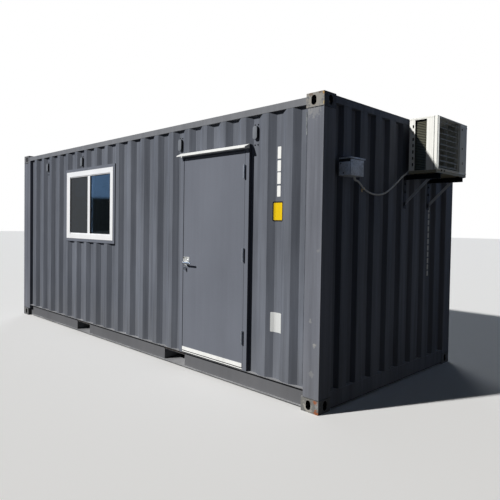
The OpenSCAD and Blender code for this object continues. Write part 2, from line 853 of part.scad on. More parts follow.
// The insect screen's frame and the fixed sash share the outer track, and the sliding sash is behind the screen
module window_sashes() {
    color(white) {
        ring(win_x0 + win_bar, window_x - 0.5, sash_z, sash_z + sash_h, sash_bar - 0.5, outer_track, screen_d);
        ring(window_x + 0.5, win_x1 - win_bar, sash_z, sash_z + sash_h, sash_bar - 0.5, outer_track, sash_d);
        ring(win_x0 + win_bar, win_x0 + win_bar + slider_w, sash_z, sash_z + sash_h, sash_bar, inner_track, sash_d);
    }
}

// One pane between two places along X, inside a sash's ring of bars
module pane(x0, x1, bar, track) {
    translate([x0 + bar, track + (sash_d - glass_t) / 2, sash_z + bar])
        cube([x1 - x0 - 2 * bar, glass_t, sash_h - 2 * bar]);
}

module window_glass() {
    color([0.4, 0.5, 0.55, 0.5]) {
        pane(win_x0 + win_bar, win_x0 + win_bar + slider_w, sash_bar, inner_track);
        pane(window_x + 0.5, win_x1 - win_bar, sash_bar - 0.5, outer_track);
    }
}

module door_frame() {
    opening_z = rail_top_z + threshold_h;
    color(paint) difference() {
        translate([frame_x0, jamb_y, rail_top_z]) cube([frame_x1 - frame_x0, jamb_d, head_top - rail_top_z]);
        translate([frame_in_x0, jamb_y - 1, opening_z])
            cube([frame_in_x1 - frame_in_x0, jamb_d + 2, head_z - opening_z]);
        difference() {
            translate([frame_x0 + jamb_t, jamb_y + jamb_t, rail_top_z + jamb_t])
                cube([frame_x1 - frame_x0 - 2 * jamb_t, jamb_d - 2 * jamb_t, head_top - rail_top_z - 2 * jamb_t]);
            translate([frame_in_x0 - jamb_t, jamb_y, opening_z - jamb_t])
                cube([frame_in_x1 - frame_in_x0 + 2 * jamb_t, jamb_d, head_z - opening_z + 2 * jamb_t]);
        }
    }
}

module door_stops() {
    z0 = rail_top_z + threshold_h;
    color(paint) {
        for (x = [frame_in_x0, frame_in_x1 - stop_w])
            translate([x, stop_y, z0]) cube([stop_w, stop_t, head_z - stop_w - 1 - z0]);
        translate([frame_in_x0, stop_y, head_z - stop_w])
            cube([frame_in_x1 - frame_in_x0, stop_t, stop_w]);
    }
}

module door_canopy() {
    lip = 10;
    back_h = 38;
    color(white) translate([frame_x0, 0, 0]) rotate([90, 0, 90]) linear_extrude(frame_x1 - frame_x0)
        translate([jamb_y, head_top]) polygon([[0, 0], [-canopy_t, 0], [-canopy_out, -canopy_fall],
            [-canopy_out, -canopy_fall - lip], [-canopy_out + canopy_t, -canopy_fall - lip],
            [-canopy_out + canopy_t, -canopy_fall - canopy_t], [-canopy_t, -canopy_t * 1.6],
            [-canopy_t, -back_h], [0, -back_h]]);
}

// Knuckles of one hinge, numbered from the bottom, with their necks to the plate
module knuckles(numbers, side) {
    step = hinge_h / 5;
    for (k = numbers) translate([0, 0, k * step + knuckle_gap / 2]) {
        cylinder(h = step - knuckle_gap, r = barrel_r);
        translate([side > 0 ? 0.5 : -0.5 - plate_t, 0, 0])
            cube([plate_t, barrel_r + 1.5, step - knuckle_gap]);
    }
}

module hinge_jamb_leaves() {
    color(steel) for (z = hinge_zs) translate([hinge_x, hinge_y, z - hinge_h / 2]) {
        knuckles([0, 2, 4], 1);
        cylinder(h = hinge_h, r = pin_r);
        translate([hinge_gap / 2 - plate_t, barrel_r + 1, 0]) cube([plate_t, plate_d, hinge_h]);
    }
}

module hinge_door_leaves() {
    color(steel) for (z = hinge_zs) translate([hinge_x, hinge_y, z - hinge_h / 2]) {
        difference() {
            knuckles([1, 3], -1);
            translate([0, 0, -1]) cylinder(h = hinge_h + 2, r = pin_r + pin_gap);
        }
        translate([-hinge_gap / 2, barrel_r + 1, 0]) cube([plate_t, plate_d, hinge_h]);
    }
}

module door_leaf() {
    color(paint) difference() {
        translate([leaf_x0, leaf_y, leaf_z0]) cube([leaf_w, leaf_t, leaf_h]);
        translate([leaf_x0 + leaf_skin, leaf_y + leaf_skin, leaf_z0 + leaf_skin])
            cube([leaf_w - 2 * leaf_skin, leaf_t - 2 * leaf_skin, leaf_h - 2 * leaf_skin]);
        translate([lever_x, leaf_y - 1, lever_z]) rotate([-90, 0, 0]) cylinder(h = leaf_t + 2, r = hub_r);
    }
}

module door_sweep() {
    color(white) translate([leaf_x0, leaf_y - sweep_t, leaf_z0]) cube([leaf_w - 3, sweep_t, sweep_h]);
}

// One rose with its foot on the leaf, facing +Y
module rose() {
    cylinder(h = rose_t, r = rose_r);
    cylinder(h = rose_t - 4, r = rose_r + 5);
}

module lock_roses() {
    color(steel) for (side = [0, 1])
        translate([lever_x, side == 0 ? leaf_y : leaf_in_y, lever_z]) mirror([0, 1 - side, 0]) rotate([-90, 0, 0])
            difference() {
                union() {
                    rose();
                    if (side == 0) translate([1 - backset, -guard_h / 2, 0]) cube([guard_w, guard_h, guard_t]);
                }
                translate([0, 0, -1]) cylinder(h = rose_t + 2, r = spindle_r + pin_gap);
            }
}

// One lever, its bar along +X, standing off along -Y from the face of a rose
module lever_bar() {
    reach = lever_out - rose_t - pin_gap;
    translate([0, -pin_gap, 0]) rotate([90, 0, 0]) cylinder(h = reach, r = hub_r);
    translate([0, -pin_gap - reach, 0]) sphere(r = hub_r);
    translate([0, -pin_gap - reach, 0]) rotate([0, 90, 0]) cylinder(h = lever_l, r = lever_r);
    translate([lever_l, -pin_gap - reach, 0]) sphere(r = lever_r);
}

module lever_handle() {
    color(steel) translate([lever_x, 0, lever_z]) {
        translate([0, leaf_y - rose_t - pin_gap, 0]) rotate([-90, 0, 0])
            cylinder(h = leaf_t + 2 * rose_t + 2 * pin_gap, r = spindle_r);
        translate([0, leaf_y - rose_t, 0]) lever_bar();
        translate([0, leaf_in_y + rose_t, 0]) mirror([0, 1, 0]) lever_bar();
    }
}

// The casing with its base pan, its lid and its front panel standing a little proud of its sides
module ac_casing() {
    hole_h = ac_h - pan_h - 20;
    color(cream) translate([ac_x0, ac_y0, ac_z]) difference() {
        union() {
            translate([0, rim, 0]) cube([ac_d - rim, ac_w - 2 * rim, ac_h]);
            cube([ac_d, ac_w, pan_h]);
            translate([0, 0, ac_h - 12]) cube([ac_d, ac_w, 12]);
            translate([ac_d - bezel_d, 0, 0]) cube([bezel_d, ac_w, ac_h]);
        }
        for (y = [-1, ac_w - rim - 1])
            translate([ac_d - bezel_d - bezel_gap, y, pan_h]) cube([bezel_gap, rim + 2, ac_h]);
        translate([ac_d - bezel_d - bezel_gap, -1, ac_h - 1]) cube([bezel_gap, ac_w + 2, 2]);
        translate([ac_t, ac_t + rim, ac_t])
            cube([ac_d - 2 * ac_t - rim, ac_w - 2 * ac_t - 2 * rim, ac_h - 2 * ac_t]);
        translate([side_hole_in, -1, pan_h + 2]) cube([side_hole_w_ac, ac_t + rim + 2, hole_h]);
        for (i = [0 : slot_n - 1])
            translate([side_hole_in - 26, -1, pan_h + 46 + i * slot_pitch]) cube([15, ac_t + rim + 2, 30]);
        translate([-1, 40, pan_h + 2]) cube([ac_t + 2, ac_w - ac_panel - 30, hole_h]);
        translate([ac_d - ac_t - rim - 1, grille_y0 - ac_y0, grille_z0 - ac_z])
            cube([ac_t + rim + 2, grille_w, grille_h]);
    }
}

module ac_coil() {
    z0 = ac_z + ac_t;
    h = ac_h - 2 * ac_t;
    coil_y = ac_y0 + ac_t + rim + coil_back;
    color([0.45, 0.43, 0.30]) {
        translate([ac_x0 + ac_t, coil_y, z0]) cube([coil_t, ac_w - ac_panel, h]);
        translate([ac_x0 + ac_t, coil_y, z0]) cube([side_hole_x1 - ac_x0 + 20, coil_t, h]);
    }
}

module ac_grille() {
    pitch = grille_h / blade_n;
    depth = 0.7 * pitch;
    color([0.35, 0.36, 0.38]) {
        for (i = [0 : blade_n - 1])
            translate([ac_x1 - depth / 2, grille_y0, grille_z0 + (i + 0.5) * pitch]) rotate([0, 35, 0])
                translate([-depth / 2, 0, -1]) cube([depth, grille_w, 2]);
        for (y = [0, grille_w / 2 - 2, grille_w - 4])
            translate([ac_x1 - depth, grille_y0 + y, grille_z0]) cube([depth / 2, 4, grille_h]);
    }
}

module ac_brackets() {
    arm_x1 = x_blind + bracket_l;
    foot = arm_z - bracket_h + 12;
    strut_x = end_x + strut_reach;
    color(black) {
        for (y = bracket_ys) translate([0, y - bracket_w / 2, 0]) {
            translate([end_x, 0, arm_z - bracket_h]) cube([bracket_t, bracket_w, bracket_h]);
            translate([end_x, 0, arm_z - bracket_t]) cube([arm_x1 - end_x, bracket_w, bracket_t]);
            translate([end_x, 0, arm_z - bracket_w]) cube([arm_x1 - end_x, bracket_t, bracket_w]);
            translate([end_x, 0, 0]) rotate([90, 0, 0]) mirror([0, 0, 1]) linear_extrude(bracket_t)
                polygon([[0, foot], [0, foot + 36], [strut_x - end_x - 30, arm_z - bracket_w + 2],
                    [strut_x - end_x + 6, arm_z - bracket_w + 2]]);
        }
        for (x = [ac_x0 + 40, ac_x1 - 40], y = bracket_ys)
            translate([x, y, arm_z]) cylinder(h = ac_z - arm_z, r = 14);
    }
}

module junction_box() {
    color(steel) translate([end_x, box_y - box_w / 2, box_z]) {
        difference() {
            cube([box_d, box_w, box_h]);
            translate([3, 3, 3]) cube([box_d - 6, box_w - 6, box_h - 6]);
        }
        translate([0, -lid_over, box_h]) cube([box_d + lid_over, box_w + 2 * lid_over, 3]);
        translate([box_d + lid_over - 3, -lid_over, box_h - lid_h + 8])
            cube([3, box_w + 2 * lid_over, lid_h - 8]);
        for (y = [-lid_over, box_w + lid_over - 3])
            translate([0, y, box_h - lid_h + 8]) cube([box_d + lid_over, 3, lid_h - 8]);
    }
}

// Rings of a swept tube, each square to its route
function unit(v) = v / norm(v);
function route_dir(p, i, d0, d1) = i == 0 ? d0 : i == len(p) - 1 ? d1 : unit(p[i + 1] - p[i - 1]);
function ring_points(p, i, r, n, d0, d1) = let(
    t = route_dir(p, i, d0, d1),
    a = unit(cross(t, [1, 0, 0])),
    b = cross(t, a))
    [for (k = [0 : n - 1]) p[i] + r * (cos(k * 360 / n) * a + sin(k * 360 / n) * b)];

module sweep(p, r, n, d0, d1) {
    m = len(p);
    points = [for (i = [0 : m - 1]) each ring_points(p, i, r, n, d0, d1)];
    faces = concat(
        [[for (k = [0 : n - 1]) k]],
        [for (i = [0 : m - 2], k = [0 : n - 1])
            [i * n + k, (i + 1) * n + k, (i + 1) * n + (k + 1) % n, i * n + (k + 1) % n]],
        [[for (k = [n - 1 : -1 : 0]) (m - 1) * n + k]]);
    polyhedron(points = points, faces = faces);
}

// A smooth route through the chosen points
function blend(a, b, c, d, t) = 0.5 * (2 * b + (c - a) * t + (2 * a - 5 * b + 4 * c - d) * t * t
    + (3 * b - a - 3 * c + d) * t * t * t);
function smooth(p, steps) = concat(
    [for (i = [0 : len(p) - 2], s = [0 : steps - 1])
        blend(p[max(i - 1, 0)], p[i], p[i + 1], p[min(i + 2, len(p) - 1)], s / steps)],
    [p[len(p) - 1]]);

// Where each elbow ends, and which way the conduit leaves it
box_out = [cos(box_aim) * sin(box_turn), sin(box_aim) * sin(box_turn), -cos(box_turn)];
box_end = box_entry + [cos(box_aim) * elbow_r * (1 - cos(box_turn)), sin(box_aim) * elbow_r * (1 - cos(box_turn)),
    -elbow_neck - elbow_r * sin(box_turn)];
ac_out = [0, -cos(ac_climb), -sin(ac_climb)];
ac_end = ac_entry - [elbow_neck + elbow_r, 0, 0] + elbow_r * ac_out;
conduit_route = concat([box_end, box_end + 12 * box_out], [for (q = conduit_pts) conduit_zero + q],
    [ac_end + 12 * ac_out, ac_end]);

module conduit() {
    color([0.45, 0.45, 0.45]) sweep(smooth(conduit_route, 2), conduit_d / 2, conduit_sides, box_out, -ac_out);
}

// An elbow that starts at the origin going down and turns towards +X
module elbow(turn) {
    translate([0, 0, -elbow_neck]) {
        cylinder(h = elbow_neck, r = conduit_d / 2 + 5);
        rotate([-90, 0, 180]) translate([-elbow_r, 0, 0]) rotate_extrude(angle = turn)
            translate([elbow_r, 0]) circle(r = conduit_d / 2 + 2);
    }
}

module conduit_elbows() {
    color([0.45, 0.45, 0.45]) {
        translate(box_entry) rotate([0, 0, box_aim]) elbow(box_turn);
        translate(ac_entry) rotate([ac_climb - 90, 0, 0]) rotate([0, 90, 0]) elbow(90);
    }
}

// The clip that holds the conduit to the end wall
module conduit_clip() {
    grip_r = conduit_d / 2 + 0.6;
    tilt = 69;
    color([0.70, 0.58, 0.38]) translate(clip_at) difference() {
        union() {
            rotate([tilt, 0, 5]) translate([0, 0, -5]) cylinder(h = 10, r = grip_r + 2);
            translate([end_x - clip_at[0], -6, -8]) cube([clip_at[0] - end_x, 12, 14]);
            translate([end_x - clip_at[0], -6, -30]) cube([3, 12, 30]);
        }
        rotate([tilt, 0, 5]) translate([0, 0, -16]) cylinder(h = 32, r = grip_r);
    }
}

module cargo_doors() {
    color(paint) for (sy = [0, 1]) mirror([0, sy, 0])
        translate([cargo_x, cargo_mid_gap, cargo_leaf_z0]) {
            difference() {
                cube([cargo_t, cargo_leaf_w, cargo_leaf_h]);
                translate([-1, cargo_stile, cargo_rail])
                    cube([cargo_t + 2, cargo_leaf_w - 2 * cargo_stile, cargo_leaf_h - 2 * cargo_rail]);
                difference() {
                    translate([cargo_tube_t, cargo_tube_t, cargo_tube_t])
                        cube([cargo_t - 2 * cargo_tube_t, cargo_leaf_w - 2 * cargo_tube_t,
                            cargo_leaf_h - 2 * cargo_tube_t]);
                    translate([0, cargo_stile - cargo_tube_t, cargo_rail - cargo_tube_t])
                        cube([cargo_t, cargo_leaf_w - 2 * (cargo_stile - cargo_tube_t),
                            cargo_leaf_h - 2 * (cargo_rail - cargo_tube_t)]);
                }
            }
            translate([0, cargo_leaf_w - cargo_stile, cargo_rail]) rotate([90, 0, 0])
                linear_extrude(cargo_leaf_w - 2 * cargo_stile)
                    mirror([1, -1]) sheet_section(panel_line, sheet_t);
        }
}

module cargo_door_gaskets() {
    g = cargo_gap;
    color(rubber) {
        for (sy = [0, 1]) mirror([0, sy, 0])
            translate([cargo_x + 10, 0, 0]) {
                translate([0, cargo_side_y - g, cargo_leaf_z0]) cube([cargo_t - 14, g, cargo_leaf_h]);
                translate([0, cargo_mid_gap, cargo_leaf_z1]) cube([cargo_t - 14, cargo_leaf_w, g]);
                translate([0, cargo_mid_gap, cargo_sill_z]) cube([cargo_t - 14, cargo_leaf_w, g]);
            }
        translate([cargo_x + 10, -cargo_mid_gap, cargo_leaf_z0])
            cube([cargo_t - 14, 2 * cargo_mid_gap, cargo_leaf_h]);
    }
}

module cargo_door_hinges() {
    color(paint) for (sy = [0, 1], z = hinge_zs_cargo) mirror([0, sy, 0]) translate([cargo_x, 0, z - cargo_hinge_h / 2]) {
        translate([-12, cargo_side_y - cargo_gap - 90, 0]) cube([12, 90 + cargo_gap - 26, cargo_hinge_h]);
        translate([-16, cargo_side_y - 16, 0]) cylinder(h = cargo_hinge_h, r = 15.9);
    }
}

module cargo_lock_rods() {
    color(steel) for (sy = [0, 1], k = [0, 1]) mirror([0, sy, 0]) translate([rod_x, rod_ys[k], 0]) {
        translate([0, 0, rod_end]) cylinder(h = frame_h - 2 * rod_end, d = rod_d);
        for (z = cam_zs) translate([-14, -30, z]) cube([14 + rod_d / 2, 60, cam_h]);
        translate([-rod_d / 2, k == 0 ? 0 : -handle_l, handle_zs[k] - 16]) cube([12, handle_l, 32]);
    }
}

module cargo_rod_brackets() {
    keeper_x = rod_d / 2 + 0.3;
    guide_zs = [cargo_leaf_z0 + cargo_rail / 2, panel_crest_z(1) - 60, panel_crest_z(3),
        cargo_leaf_z1 - cargo_rail / 2];
    color(paint) for (sy = [0, 1], k = [0, 1]) mirror([0, sy, 0]) {
        for (z = guide_zs) translate([rod_x, rod_ys[k], z]) difference() {
            translate([-rod_d / 2 - 4, -keeper_w / 2, -20]) cube([cargo_x - rod_x + rod_d / 2 + 4, keeper_w, 40]);
            translate([0, 0, -21]) cylinder(h = 42, d = rod_d + 0.6);
        }
        translate([rod_x - rod_d / 2 + 12, rod_ys[k] + (k == 0 ? handle_l - 40 : 10 - handle_l), handle_zs[k] - 25])
            cube([cargo_x - rod_x + rod_d / 2 - 12, 30, 50]);
        for (z = cam_zs) translate([rod_x, rod_ys[k], z]) {
            translate([keeper_x, -keeper_w / 2, -6]) cube([cargo_x - rod_x - keeper_x, keeper_w, cam_h + 12]);
            for (y = [-keeper_w / 2, keeper_w / 2 - 7.5])
                translate([-22, y, -6]) cube([keeper_x + 22, 7.5, cam_h + 12]);
        }
    }
}

bottom_castings();
top_castings();
corner_posts();
bottom_side_rails();
top_side_rails();
crossmembers();
fork_pockets();
floor_deck();
blind_end_frame();
door_end_frame();
roof_panel();
front_wall_left();
front_wall_by_window();
front_wall_middle();
front_wall_over_door();
front_wall_right();
back_wall();
blind_end_wall();
wall_vents();
window_surround();
window_frame();
window_sashes();
window_glass();
door_frame();
door_stops();
door_canopy();
hinge_jamb_leaves();
hinge_door_leaves();
door_leaf();
door_sweep();
lock_roses();
lever_handle();
ac_casing();
ac_coil();
ac_grille();
ac_brackets();
junction_box();
conduit();
conduit_elbows();
conduit_clip();
cargo_doors();
cargo_door_gaskets();
cargo_door_hinges();
cargo_lock_rods();
cargo_rod_brackets();
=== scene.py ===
"""Looks of the shipping container cabin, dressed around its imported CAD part. Sizes are in metres."""

import json
import math

import bpy
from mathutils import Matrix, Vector

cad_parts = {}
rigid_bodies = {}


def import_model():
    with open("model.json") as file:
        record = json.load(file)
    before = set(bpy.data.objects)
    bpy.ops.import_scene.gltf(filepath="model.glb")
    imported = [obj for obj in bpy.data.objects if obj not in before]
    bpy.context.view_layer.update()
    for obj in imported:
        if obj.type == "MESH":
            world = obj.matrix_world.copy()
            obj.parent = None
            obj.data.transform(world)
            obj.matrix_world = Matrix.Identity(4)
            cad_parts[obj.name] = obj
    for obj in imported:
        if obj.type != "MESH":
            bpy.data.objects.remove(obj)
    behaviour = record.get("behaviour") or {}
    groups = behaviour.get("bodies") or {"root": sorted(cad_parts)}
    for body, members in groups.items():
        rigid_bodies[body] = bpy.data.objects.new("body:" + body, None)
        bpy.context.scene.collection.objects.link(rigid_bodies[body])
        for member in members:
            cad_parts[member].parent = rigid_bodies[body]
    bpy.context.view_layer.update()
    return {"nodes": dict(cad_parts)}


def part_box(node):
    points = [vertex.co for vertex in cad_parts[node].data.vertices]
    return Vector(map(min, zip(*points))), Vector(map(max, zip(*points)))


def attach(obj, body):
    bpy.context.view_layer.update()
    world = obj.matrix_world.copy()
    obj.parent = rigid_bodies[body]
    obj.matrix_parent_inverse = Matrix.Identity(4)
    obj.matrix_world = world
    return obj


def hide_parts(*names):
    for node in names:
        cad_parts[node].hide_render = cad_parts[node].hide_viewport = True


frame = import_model()
ops = bpy.ops

# The outer face of posts, castings and window surround, and the floor of the front wall's valleys
FRONT, VALLEY = -1.219, -1.179


def colour(red, green, blue):
    """Turns a paint chart colour, 0 to 255, into the light values that a shader takes."""
    out = []
    for value in (red, green, blue):
        value /= 255
        out.append(value / 12.92 if value <= 0.04045 else ((value + 0.055) / 1.055) ** 2.4)
    return (*out, 1.0)


def set_camera():
    """The camera stands off the near corner, at eye height."""
    data = bpy.data.cameras.new("camera")
    camera = bpy.data.objects.new("camera", data)
    bpy.context.scene.collection.objects.link(camera)
    camera.location = (5.42763, -4.44186, 1.51627)
    camera.rotation_euler = [math.radians(a) for a in (88.337, -0.8885, 45.3998)]
    data.lens = 36.063
    data.sensor_width = 36
    data.shift_x = 0.01055
    data.shift_y = -0.01998
    data.clip_end = 200
    bpy.context.scene.camera = camera


set_camera()


# Shader nodes
def put(tree, kind, wires=None, **settings):
    """Adds a shader node, with each input in wires either linked or set to a value."""
    made = tree.nodes.new("ShaderNode" + kind)
    for name, value in settings.items():
        setattr(made, name, value)
    for socket, value in (wires or {}).items():
        if isinstance(value, bpy.types.NodeSocket):
            tree.links.new(value, made.inputs[socket])
        else:
            made.inputs[socket].default_value = value
    return made


def sums(tree, operation, *terms):
    """A Math node's result."""
    return put(tree, "Math", dict(enumerate(terms)), operation=operation).outputs[0]


def times(tree, first, second):
    return sums(tree, "MULTIPLY", first, second)


def blend(tree, share, first, second, how="MIX"):
    """Mixes two colours by a share."""
    made = put(tree, "Mix", {0: share, 6: first, 7: second}, data_type="RGBA", blend_type=how)
    return made.outputs[2]


def toned(tree, base, tone):
    """A colour made lighter or darker by a tone, where one leaves it alone."""
    grey = put(tree, "CombineColor", {0: tone, 1: tone, 2: tone}).outputs[0]
    return blend(tree, 1.0, base, grey, "MULTIPLY")


def span(tree, value, low, high, to_low=0.0, to_high=1.0):
    """Maps low to high onto another range, held at its ends."""
    wires = {"Value": value, "From Min": low, "From Max": high, "To Min": to_low, "To Max": to_high}
    return put(tree, "MapRange", wires).outputs[0]


def between(tree, value, low, high, soft=0.0005):
    """One from low to high, and zero outside."""
    return times(tree, span(tree, value, low, low + soft), span(tree, value, high + soft, high))


def place(tree, stretch=(1, 1, 1)):
    """The place on the surface in metres, stretched along each axis."""
    point = put(tree, "TexCoord").outputs["Object"]
    return put(tree, "Mapping", {"Vector": point, "Scale": stretch}).outputs[0]


def noise(tree, scale, stretch=(1, 1, 1), detail=3.0, rough=0.55):
    wires = {"Vector": place(tree, stretch), "Scale": scale, "Detail": detail, "Roughness": rough}
    return put(tree, "TexNoise", wires).outputs[0]


def along(tree, axis):
    """The place along one axis of the point that is shaded."""
    point = put(tree, "TexCoord").outputs["Object"]
    return put(tree, "SeparateXYZ", {0: point}).outputs["XYZ".index(axis)]


def facing(tree, axis):
    """How far the surface faces along one axis, from -1 to 1."""
    normal = put(tree, "NewGeometry").outputs["Normal"]
    return put(tree, "SeparateXYZ", {0: normal}).outputs["XYZ".index(axis)]


KINDS = {"colour": "NodeSocketColor", "value": "NodeSocketFloat"}


def effect(name, takes, gives):
    """Starts a node group. takes maps each input to its resting value, gives each output to its kind."""
    tree = bpy.data.node_groups.new(name, "ShaderNodeTree")
    for title, rest in takes.items():
        kind = "colour" if isinstance(rest, tuple) else "value"
        socket = tree.interface.new_socket(title, in_out="INPUT", socket_type=KINDS[kind])
        socket.default_value = rest
    for title, kind in gives.items():
        tree.interface.new_socket(title, in_out="OUTPUT", socket_type=KINDS[kind])
    start = tree.nodes.new("NodeGroupInput")
    end = tree.nodes.new("NodeGroupOutput")
    return tree, start.outputs, end.inputs


def use(tree, group, **wires):
    """Places a node group in a material."""
    made = put(tree, "Group", node_tree=group)
    for title, value in wires.items():
        socket = made.inputs[title.replace("_", " ").title()]
        if isinstance(value, bpy.types.NodeSocket):
            tree.links.new(value, socket)
        else:
            socket.default_value = value
    return made.outputs


# Shared effects
SPLASHED_SOIL, LYING_DUST = colour(122, 119, 112), colour(186, 187, 190)
OLD_RUST, FRESH_RUST = colour(70, 44, 32), colour(150, 92, 54)


def make_weather():
    """Paint that has stood outdoors: faded clouds, rain streaks, dirt low down and dust on top."""
    tree, takes, gives = effect(
        "weathered_paint",
        {"Colour": (0.2, 0.2, 0.2, 1), "Fade": 0.5, "Streaks": 0.5, "Foot Dirt": 0.3, "Dust": 0.5},
        {"Colour": "colour", "Roughness": "value", "Height": "value"},
    )
    clouds = span(tree, noise(tree, 1.1, (1, 1, 0.7), 5), 0.3, 0.7, -1, 1)
    rain = span(tree, noise(tree, 7.0, (1.6, 1.6, 0.09), 4, 0.6), 0.35, 0.7, -1, 1)
    fine = span(tree, noise(tree, 26.0, (1.4, 1.4, 0.05), 3, 0.6), 0.35, 0.7, -1, 1)
    specks = span(tree, noise(tree, 90, detail=2), 0.35, 0.75, -1, 1)
    tone = 1
    for pattern, strength in (
        (clouds, times(tree, takes["Fade"], 0.2)), (rain, times(tree, takes["Streaks"], 0.24)),
        (fine, times(tree, takes["Streaks"], 0.1)), (specks, 0.025),
    ):
        tone = sums(tree, "MULTIPLY_ADD", pattern, strength, tone)
    shade = toned(tree, takes["Colour"], tone)
    splash = times(tree, span(tree, along(tree, "Z"), 0.9, 0.05), noise(tree, 5, (1, 1, 0.4), 5, 0.7))
    splash = times(tree, span(tree, splash, 0.12, 0.8), takes["Foot Dirt"])
    shade = blend(tree, splash, shade, SPLASHED_SOIL)
    level = span(tree, facing(tree, "Z"), 0.4, 0.95)
    lying = times(tree, level, span(tree, noise(tree, 3, detail=6), 0.15, 0.7))
    lying = times(tree, lying, takes["Dust"])
    shade = blend(tree, lying, shade, LYING_DUST)
    tree.links.new(shade, gives["Colour"])
    dirt = times(tree, sums(tree, "ADD", splash, lying), 0.3)
    tree.links.new(sums(tree, "ADD", span(tree, clouds, -1, 1, 0.5, 0.62), dirt), gives["Roughness"])
    peel = times(tree, noise(tree, 260, detail=1), 0.15)
    tree.links.new(sums(tree, "MULTIPLY_ADD", noise(tree, 2.2, detail=2), 1.2, peel), gives["Height"])
    return tree


def make_rust():
    """Rust that breaks through in spots, more of it where Amount is higher."""
    tree, takes, gives = effect(
        "rust_spots",
        {"Colour": (0.2, 0.2, 0.2, 1), "Amount": 0.3, "Size": 9.0},
        {"Colour": "colour", "Mask": "value"},
    )
    wires = {"Vector": place(tree), "Scale": takes["Size"], "Detail": 7.0, "Roughness": 0.68}
    spots = put(tree, "TexNoise", wires).outputs[0]
    edge = sums(tree, "SUBTRACT", 0.86, times(tree, takes["Amount"], 0.5))
    mask = span(tree, spots, edge, sums(tree, "ADD", edge, 0.05))
    grain = span(tree, noise(tree, 60, detail=4), 0.35, 0.65)
    brown = blend(tree, grain, OLD_RUST, FRESH_RUST)
    tree.links.new(blend(tree, mask, takes["Colour"], brown), gives["Colour"])
    tree.links.new(mask, gives["Mask"])
    return tree


def make_edge_wear():
    """Where a corner of the metal has been rubbed, found from a rounded normal."""
    tree, takes, gives = effect("edge_wear", {"Reach": 0.004, "Amount": 0.5}, {"Mask": "value"})
    rounded = put(tree, "Bevel", {"Radius": takes["Reach"]}, samples=4).outputs[0]
    normal = put(tree, "NewGeometry").outputs["Normal"]
    likeness = put(tree, "VectorMath", {0: rounded, 1: normal}, operation="DOT_PRODUCT").outputs["Value"]
    bare = span(tree, likeness, 0.995, 0.86)
    patchy = span(tree, noise(tree, 28, detail=6, rough=0.7), 0.4, 0.62)
    tree.links.new(times(tree, times(tree, bare, patchy), takes["Amount"]), gives["Mask"])
    return tree


def make_patch():
    """A ragged patch round one point, such as a scuff, a rust bloom or a bleached corner."""
    tree, takes, gives = effect(
        "ragged_patch", {"X": 0.0, "Y": 0.0, "Z": 0.0, "Reach": 0.05}, {"Mask": "value"})
    centre = put(tree, "CombineXYZ", {0: takes["X"], 1: takes["Y"], 2: takes["Z"]}).outputs[0]
    away = put(tree, "VectorMath", {0: place(tree), 1: centre}, operation="DISTANCE").outputs["Value"]
    near = sums(tree, "SUBTRACT", 1, sums(tree, "DIVIDE", away, takes["Reach"]))
    ragged = span(tree, noise(tree, 42, detail=6, rough=0.7), 0.3, 0.7, -1, 1)
    ragged = sums(tree, "MULTIPLY_ADD", ragged, 0.8, near)
    tree.links.new(span(tree, ragged, 0.1, 0.45), gives["Mask"])
    return tree


weather = make_weather()
rust = make_rust()
edge_wear = make_edge_wear()
ragged_patch = make_patch()


# Finishes
def finish_named(name):
    made = bpy.data.materials.new(name)
    made.use_nodes = True
    tree = made.node_tree
    return made, tree, tree.nodes["Principled BSDF"].inputs


def bump(tree, shader, height, depth):
    """Depth is the real depth in metres of a full step of the height."""
    made = put(tree, "Bump", {"Height": height, "Distance": depth})
    tree.links.new(made.outputs[0], shader["Normal"])


def steel_paint(name, base, fade=0.5, streaks=0.6, foot_dirt=0.25, dust=0.6, rusty=0.0, size=9.0, worn=0.0,
                rubbed=(150, 146, 138), dents=0.0012, patches=()):
    """Painted steel. Each patch is a place, a reach, a colour and a strength."""
    made, tree, shader = finish_named(name)
    coat = use(tree, weather, colour=base, fade=fade, streaks=streaks, foot_dirt=foot_dirt, dust=dust)
    shade, dull = coat["Colour"], coat["Roughness"]
    for (x, y, z), reach, tint, strength in patches:
        mask = use(tree, ragged_patch, x=x, y=y, z=z, reach=reach)["Mask"]
        shade = blend(tree, times(tree, mask, strength), shade, colour(*tint))
    if worn:
        mask = use(tree, edge_wear, amount=worn)["Mask"]
        shade = blend(tree, mask, shade, colour(*rubbed))
    if rusty:
        spots = use(tree, rust, colour=shade, amount=rusty, size=size)
        shade = spots["Colour"]
        dull = sums(tree, "MULTIPLY_ADD", spots["Mask"], 0.3, dull)
    tree.links.new(shade, shader["Base Color"])
    tree.links.new(dull, shader["Roughness"])
    shader["Specular IOR Level"].default_value = 0.06
    bump(tree, shader, coat["Height"], dents)
    return made


def darken(made, mask, tint, share=1.0):
    """Lays a darker colour over a finished paint where mask, which is given its node tree, makes one."""
    tree = made.node_tree
    target = tree.nodes["Principled BSDF"].inputs["Base Color"]
    coat = target.links[0].from_socket
    tree.links.new(blend(tree, times(tree, mask(tree), share), coat, tint), target)


CASTING_HOLLOW = (("X", 2.852, 3.0275), ("Y", 1.058, 1.2175))


def painted_hollow_shade(made, foot, top):
    """A dark colour over the hollow and the apertures of the corner castings between two heights, as painted
    shade.
    """
    def hollow(tree):
        mask = between(tree, along(tree, "Z"), foot, top)
        for axis, low, high in CASTING_HOLLOW:
            mask = times(tree, mask, between(tree, sums(tree, "ABSOLUTE", along(tree, axis)), low, high))
        return mask

    darken(made, hollow, colour(26, 24, 23))


def painted_shade_slopes(tree):
    """The slopes of the side walls that face along +X, picked out to be darkened as painted shade."""
    side = span(tree, sums(tree, "ABSOLUTE", facing(tree, "Y")), 0.7, 0.8)
    return times(tree, side, span(tree, facing(tree, "X"), 0.3, 0.4))


